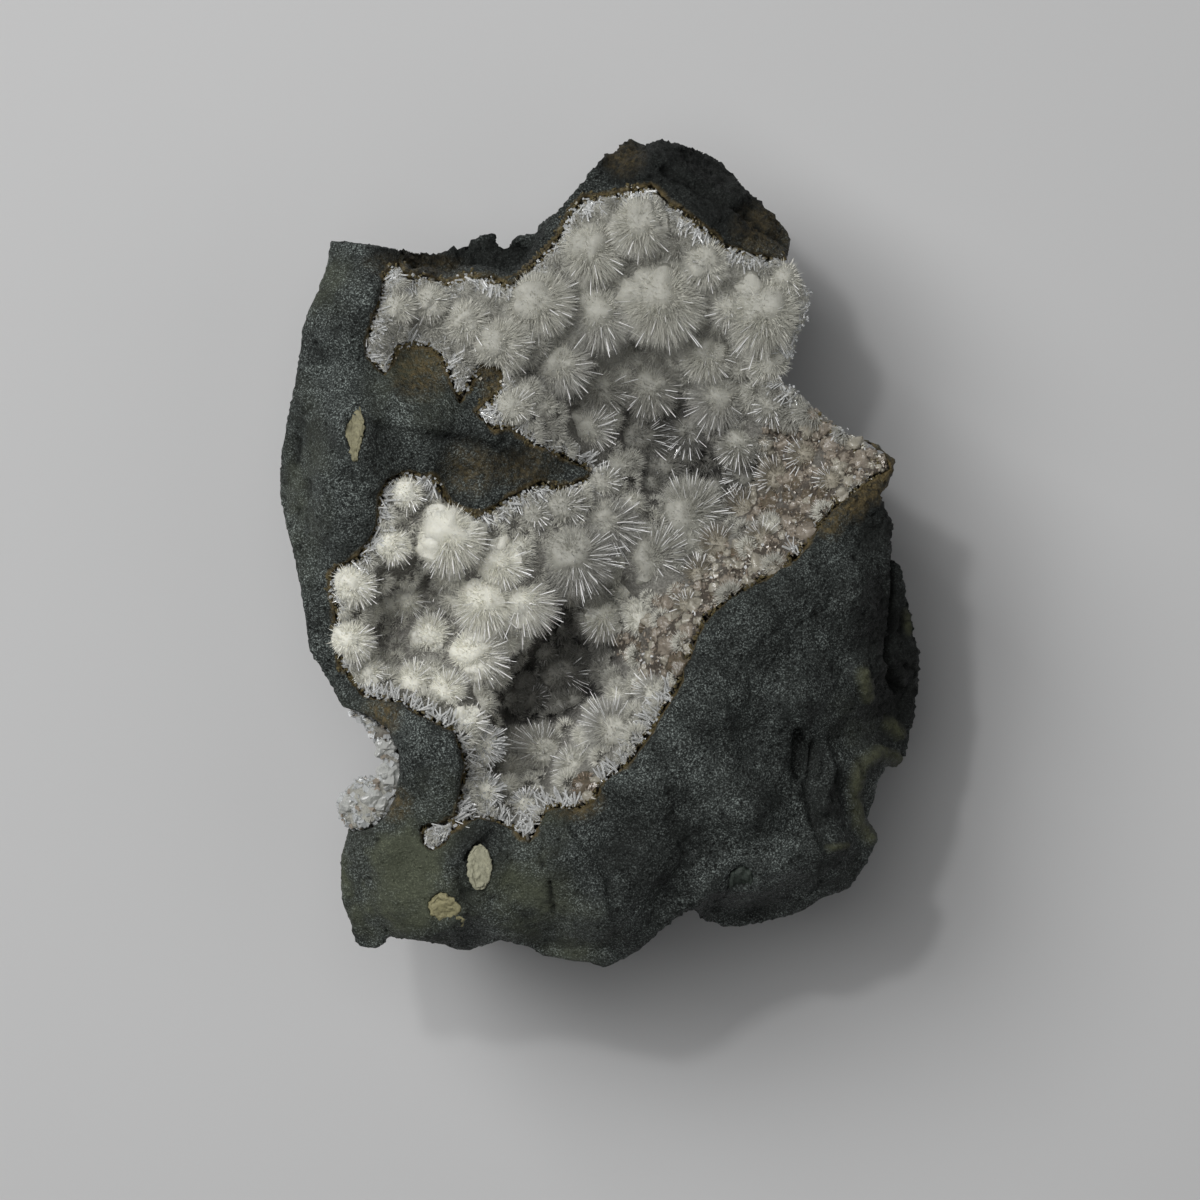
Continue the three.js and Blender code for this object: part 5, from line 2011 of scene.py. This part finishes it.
@dataclass(frozen=True)
class Lining:
    """The felted surface under the needles.

    Attributes:
        skirt: How far its edge goes down.
        grain: Height of its unevenness.
        lump: Height of the thomsonite's clusters.
        grain_scale: Uneven spots to a millimetre.
        lump_scale: Clusters to a millimetre.
        sunk: How far its edge lies under the stone's top.
        deep_shade: Height below which it darkens as painted shade, and the stretch in which it does.
        high: Height above which it is milkier as painted light, and the stretch in which it gets so.
        upper: Place along the length past which it is milky, and the stretch in which it gets so.
        high_milk: Most painted light that height gives, as milkiness.
    """

    skirt: float = 3.0
    grain: float = 0.3
    lump: float = 0.9
    grain_scale: float = 1.1
    lump_scale: float = 0.5
    sunk: float = 0.12
    deep_shade: tuple = (21.5, -4)
    high: tuple = (22.5, 4)
    upper: tuple = (14, 10)
    high_milk: float = 0.25

    def build(self, surface: TopSurface) -> bpy.types.Object:
        """Builds the lining.

        Args:
            surface: Its heights.

        Returns:
            The piece.
        """
        near = spread(surface.inside.astype(float), 2, np.maximum).astype(bool)
        mask = surface.inside | (near & np.isfinite(surface.stone_top))
        number = np.full(mask.shape, -1)
        number[mask] = np.arange(mask.sum())
        i, j = np.nonzero(mask)
        x = surface.origin[0] + i * surface.step
        y = surface.origin[1] + j * surface.step
        z = surface.base[mask].copy()
        pink = np.array([in_thomsonite(a, b) for a, b in zip(x, y)])
        spots = [Vector((a, b, 0)) for a, b in zip(x, y)]
        z += self.grain * np.array([noise.fractal(spot * self.grain_scale, 0.6, 2.0, 3) for spot in spots])
        cells = np.array([noise.voronoi(spot * self.lump_scale)[0][0] for spot in spots])
        z += self.lump * pink * (0.5 - cells)
        outside = ~surface.inside[mask]
        z[outside] = np.minimum(z[outside], surface.stone_top[mask][outside] - self.sunk)
        faces = []
        for a, b in zip(*np.nonzero(mask[:-1, :-1] & mask[1:, :-1] & mask[1:, 1:] & mask[:-1, 1:])):
            faces.append((number[a, b], number[a + 1, b], number[a + 1, b + 1], number[a, b + 1]))
        points = np.stack([x, y, z], axis=1)
        points, faces = with_skirt(points, faces, self.skirt)
        pink = np.concatenate([pink, np.zeros(len(points) - len(pink))])
        rim = np.concatenate([outside, np.ones(len(points) - len(outside))])
        # Painted shade: the lining's colour darkens below a height, in the deep hole.
        values = {"pink": pink, "rim": rim, "deep_shade": np.minimum(risen(points[:, 2], self.deep_shade), 0.9)}
        # Past the upper line the lining is the milky crust; where it lies high it is also made milkier as
        # painted light.
        milk = risen(points[:, 1], self.upper)
        values["milk"] = np.maximum(milk, self.high_milk * risen(points[:, 2], self.high))
        piece = Shape(points, faces, values).to_piece("hollow_lining", Felt().material(), smooth=True)
        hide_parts("vug_crust")
        return piece


EDGE_PASSES = 4


def with_skirt(points: np.ndarray, faces: list, depth: float) -> tuple[np.ndarray, list]:
    """Hangs a band of faces from the open edge of a surface.

    Args:
        points: Points of the surface.
        faces: Its faces.
        depth: Height of the band.

    Returns:
        The points and faces with the band.
    """
    edges = {}
    for face in faces:
        for k, start in enumerate(face):
            end = face[(k + 1) % len(face)]
            if edges.pop((end, start), None) is None:
                edges[(start, end)] = True
    rim = sorted({p for edge in edges for p in edge})
    lower = {p: len(points) + k for k, p in enumerate(rim)}
    ends = np.array(list(edges))
    points = points.copy()
    for _ in range(EDGE_PASSES):
        total, count = np.zeros((len(points), 2)), np.zeros(len(points))
        for one, other in ((ends[:, 0], ends[:, 1]), (ends[:, 1], ends[:, 0])):
            np.add.at(total, one, points[other, :2])
            np.add.at(count, one, 1)
        points[rim, :2] = total[rim] / count[rim, None]
    dropped = points[rim] - np.array([0, 0, depth])
    band = [(end, start, lower[start], lower[end]) for start, end in edges]
    return np.vstack([points, dropped]), [*faces, *band]


POCKET_BALLS = ((-25.6, -23.4, 1.5), (-25.2, -26.8, 1.9), (-27, -29.8, 2), (-30, -30.4, 1.5),
                (-26.6, -32.4, 1.3))


@dataclass(frozen=True)
class SidePocket:
    """The crystals of the small pocket in the lower left edge.

    Attributes:
        closeness: Crystals on each square millimetre of the crust.
        longest_edge: Longest edge of the crust's faces.
        unevenness: Height of the crust's lumps.
        slot: Name of a slot, handed to each piece but not used.
    """

    closeness: float = 2.2
    longest_edge: float = 0.8
    unevenness: float = 0.35
    slot: str = "pocket_crystals"

    def build(self) -> list:
        """Builds the pocket's crust and its crystals.

        Returns:
            The pieces.
        """
        rng = np.random.default_rng(23)
        points, triangles = node_arrays("side_pocket_crust")
        points, triangles = refine(points, triangles, lambda p: np.full(len(p), self.longest_edge))
        points = softened(points, triangles, 2, np.zeros(len(points), dtype=bool))
        normals = normals_of(points, triangles)
        lumps = np.array([noise.fractal(Vector(p) * 0.7, 0.7, 2.0, 4) for p in points])
        points = points + normals * (self.unevenness * lumps)[:, None]
        pink = np.array([Patch(-25.4, -23, 3).strength(points)])[0]
        nothing = np.zeros(len(points))
        values = {"pink": pink, "rim": nothing, "deep_shade": nothing, "milk": nothing + 1}
        base = Shape(points, list(triangles), values).to_piece(
            "pocket_lining", Felt().material(), smooth=True, slot=self.slot)
        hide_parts("side_pocket_crust")
        a, b, c = (points[triangles[:, k]] for k in range(3))
        area = np.linalg.norm(np.cross(b - a, c - a), axis=1) / 2
        upward = normals_of(points, triangles)[triangles[:, 0]][:, 2] > -0.2
        weight = area * upward
        count = int(weight.sum() * self.closeness)
        chosen = rng.choice(len(triangles), count, p=weight / weight.sum())
        shares = rng.dirichlet((1, 1, 1), count)
        places = sum(shares[:, k:k + 1] * points[triangles[chosen, k]] for k in range(3))
        sizes = rng.uniform(0.12, 0.5, (count, 1)) * rng.uniform(0.3, 1, (count, 3))
        clear = rng.random(count) < 0.85
        pieces = [base]
        for name, part, finish in (("pocket_clear_grains", clear, CLEAR_GRAINS),
                                   ("pocket_pinkish_grains", ~clear, PINKISH)):
            shape = grains(places[part], sizes[part], rng)
            pieces.append(shape.to_piece(name, finish.material(), slot=self.slot))
        tree = tree_of(points, triangles)
        balls = []
        for x, y, radius in POCKET_BALLS:
            hit = tree.ray_cast(Vector((x, y, ABOVE_ALL)), DOWN)[0]
            if hit is not None:
                balls.append(ball(np.array([x, y, hit.z - 0.35 * radius]), 0.85 * radius, 7, 0.5))
        if balls:
            pieces.append(joined(balls).to_piece("pocket_balls", POCKET_GLASS.material(), slot=self.slot))
        return pieces


@dataclass(frozen=True)
class BubbleFilling:
    """A filled gas bubble that shows on the broken face.

    Attributes:
        node: Name of its CAD node.
        slot: Name of a slot, handed to the piece but not used.
        colour: Its colour.
        jagged: How far its surface departs from the plain form.
        grown: How much larger it is than the plain form, so that it meets the stone.
        proud: How far its top stands above the stone round it.
        longest_edge: Longest edge of its faces.
        mottles: Pattern of its lighter and darker parts.
        roughness: Roughness of its surface.
        raised: Strength and height of its unevenness.
    """

    node: str
    slot: str
    colour: tuple
    jagged: float = 0.22
    grown: float = 0.28
    proud: float = 0.3
    longest_edge: float = 0.35
    mottles: Pattern = Pattern(2.2, 5, 0.7, 0.3, 0.65)
    roughness: float = 0.55
    raised: tuple = (0.6, 0.15)

    def level(self, stone: BVHTree, points: np.ndarray) -> np.ndarray:
        """Gives the height of the broken face at the filling, from the stone round it.

        Args:
            stone: The finished stone.
            points: Points of the filling.

        Returns:
            The height at each point.
        """
        low, high = points[:, :2].min(axis=0), points[:, :2].max(axis=0)
        angle = np.linspace(0, 2 * math.pi, 32, endpoint=False)
        around = np.stack([np.cos(angle), np.sin(angle)], axis=1)
        ring = (low + high) / 2 + ((high - low) / 2 + 0.8) * around
        hits = [stone.ray_cast(Vector((x, y, ABOVE_ALL)), DOWN)[0] for x, y in ring]
        known = np.array([hit for hit in hits if hit is not None])
        away = np.linalg.norm(points[:, None, :2] - known[None, :, :2], axis=2)
        weight = 1 / (away + 0.1) ** 2
        return (weight * known[:, 2]).sum(axis=1) / weight.sum(axis=1)

    def build(self, stone: BVHTree) -> bpy.types.Object:
        """Builds the filling.

        Args:
            stone: The finished stone.

        Returns:
            The piece.
        """
        points, triangles = node_arrays(self.node)
        points, triangles = refine(points, triangles, lambda p: np.full(len(p), self.longest_edge))
        points[:, 2] = np.minimum(points[:, 2], self.level(stone, points) + self.proud)
        normals = normals_of(points, triangles)
        rough = np.array([noise.fractal(Vector(p) * 1.9, 0.7, 2.0, 4) for p in points])
        points = points + normals * (self.jagged * rough)[:, None]
        points[:, :2] += normals[:, :2] * self.grown
        points[:, :2] += np.array([noise.noise_vector(Vector(p) * 1.3)[:2] for p in points]) * self.jagged
        shape = Shape(points, list(triangles))
        piece = shape.to_piece(f"{self.node}_piece", self.material(), smooth=True, slot=self.slot)
        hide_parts(self.node)
        return piece

    def material(self) -> bpy.types.Material:
        """Makes the material.

        Returns:
            The material.
        """
        material, graph, shader = new_material(f"{self.node}_finish")
        mottled = graph.mottled(graph.place(), self.mottles)
        graph.finish(shader, Base_Color=graph.mixed(mottled, toned(self.colour, 0.6), self.colour),
                     Roughness=self.roughness, Normal=graph.raised(mottled, *self.raised))
        return material


FILLINGS = (
    BubbleFilling("cream_lath", "cream_filling", (0.3, 0.28, 0.17)),
    BubbleFilling("oval_filling", "cream_filling", (0.42, 0.41, 0.29)),
    BubbleFilling("star_filling", "cream_filling", (0.36, 0.33, 0.18)),
    BubbleFilling("green_filling", "green_filling", (0.034, 0.046, 0.036)),
)


# The room

class Studio:
    """The floor, the lights and the camera."""

    photo_width = 1200
    mm_per_pixel = 0.12
    centre_row = 552
    lens = 250.0
    sensor = 36.0
    focus_height = 34.0
    floor_size = 6
    floor_grey = 0.56
    floor_roughness = 0.9
    sky = (0.8, 0.82, 0.85, 1)
    sky_strength = 0.07
    far_end = 10
    aim = Vector((0, 0, 0.02))

    def build(self) -> None:
        """Builds the room round the specimen."""
        self.floor()
        self.camera()
        self.light("key", (-0.42, 0.3, 0.66), 0.4, 3.6)
        self.light("fill", (0.5, -0.1, 0.7), 0.6, 0.5)
        self.light("top", (-0.16, 0.1, 0.95), 0.5, 2.6)
        self.light("spark", (-0.2, 0.24, 0.8), 0.05, 0.9)
        world = bpy.data.worlds.new("room")
        world.use_nodes = True
        world.node_tree.nodes["Background"].inputs["Color"].default_value = self.sky
        world.node_tree.nodes["Background"].inputs["Strength"].default_value = self.sky_strength
        bpy.context.scene.world = world
        bpy.context.scene.view_settings.view_transform = "Standard"

    def floor(self) -> None:
        """Lays a plain pale floor."""
        bpy.ops.mesh.primitive_plane_add(size=self.floor_size)
        floor = bpy.context.object
        floor.name = "floor"
        material, graph, shader = new_material("floor")
        graph.finish(shader, Base_Color=(self.floor_grey,) * 3, Roughness=self.floor_roughness)
        floor.data.materials.append(material)

    def camera(self) -> None:
        """Looks straight down at the photograph's scale."""
        data = bpy.data.cameras.new("camera")
        data.lens = self.lens
        data.sensor_width = self.sensor
        width = self.photo_width * self.mm_per_pixel
        distance = width * self.lens / self.sensor
        camera = bpy.data.objects.new("camera", data)
        below = (self.photo_width / 2 - self.centre_row) * self.mm_per_pixel
        camera.location = Vector((0, -below, self.focus_height + distance)) * MM
        data.clip_end = self.far_end
        bpy.context.scene.collection.objects.link(camera)
        bpy.context.scene.camera = camera

    def light(self, name: str, place: tuple, size: float, power: float) -> None:
        """Adds a soft lamp that faces the specimen.

        Args:
            name: Name of the lamp.
            place: Where it hangs, in metres.
            size: Side of its square, in metres.
            power: Its power in watts.
        """
        data = bpy.data.lights.new(name, "AREA")
        data.size = size
        data.energy = power
        lamp = bpy.data.objects.new(name, data)
        lamp.location = place
        aim = self.aim - lamp.location
        lamp.rotation_euler = aim.to_track_quat("-Z", "Y").to_euler()
        bpy.context.scene.collection.objects.link(lamp)


def main() -> None:
    """Builds the specimen and its room, and reports each piece."""
    surface = TopSurface("vug_crust", "basalt_matrix")
    stone, broken_face = StoneBlock().build(surface.crust)
    pieces = [stone, Lining().build(surface)]
    growth = SprayField(surface, SPRAY_SEED)
    pieces += growth.build_all()
    pieces += Thomsonite().build(growth)
    pieces += RimCrystals().build(surface)
    pieces += SidePocket().build()
    pieces += [filling.build(broken_face) for filling in FILLINGS]
    for piece in pieces:
        log.info("%s: %d faces", piece.name, len(piece.data.polygons))
    Studio().build()


if __name__ == "__main__":
    main()
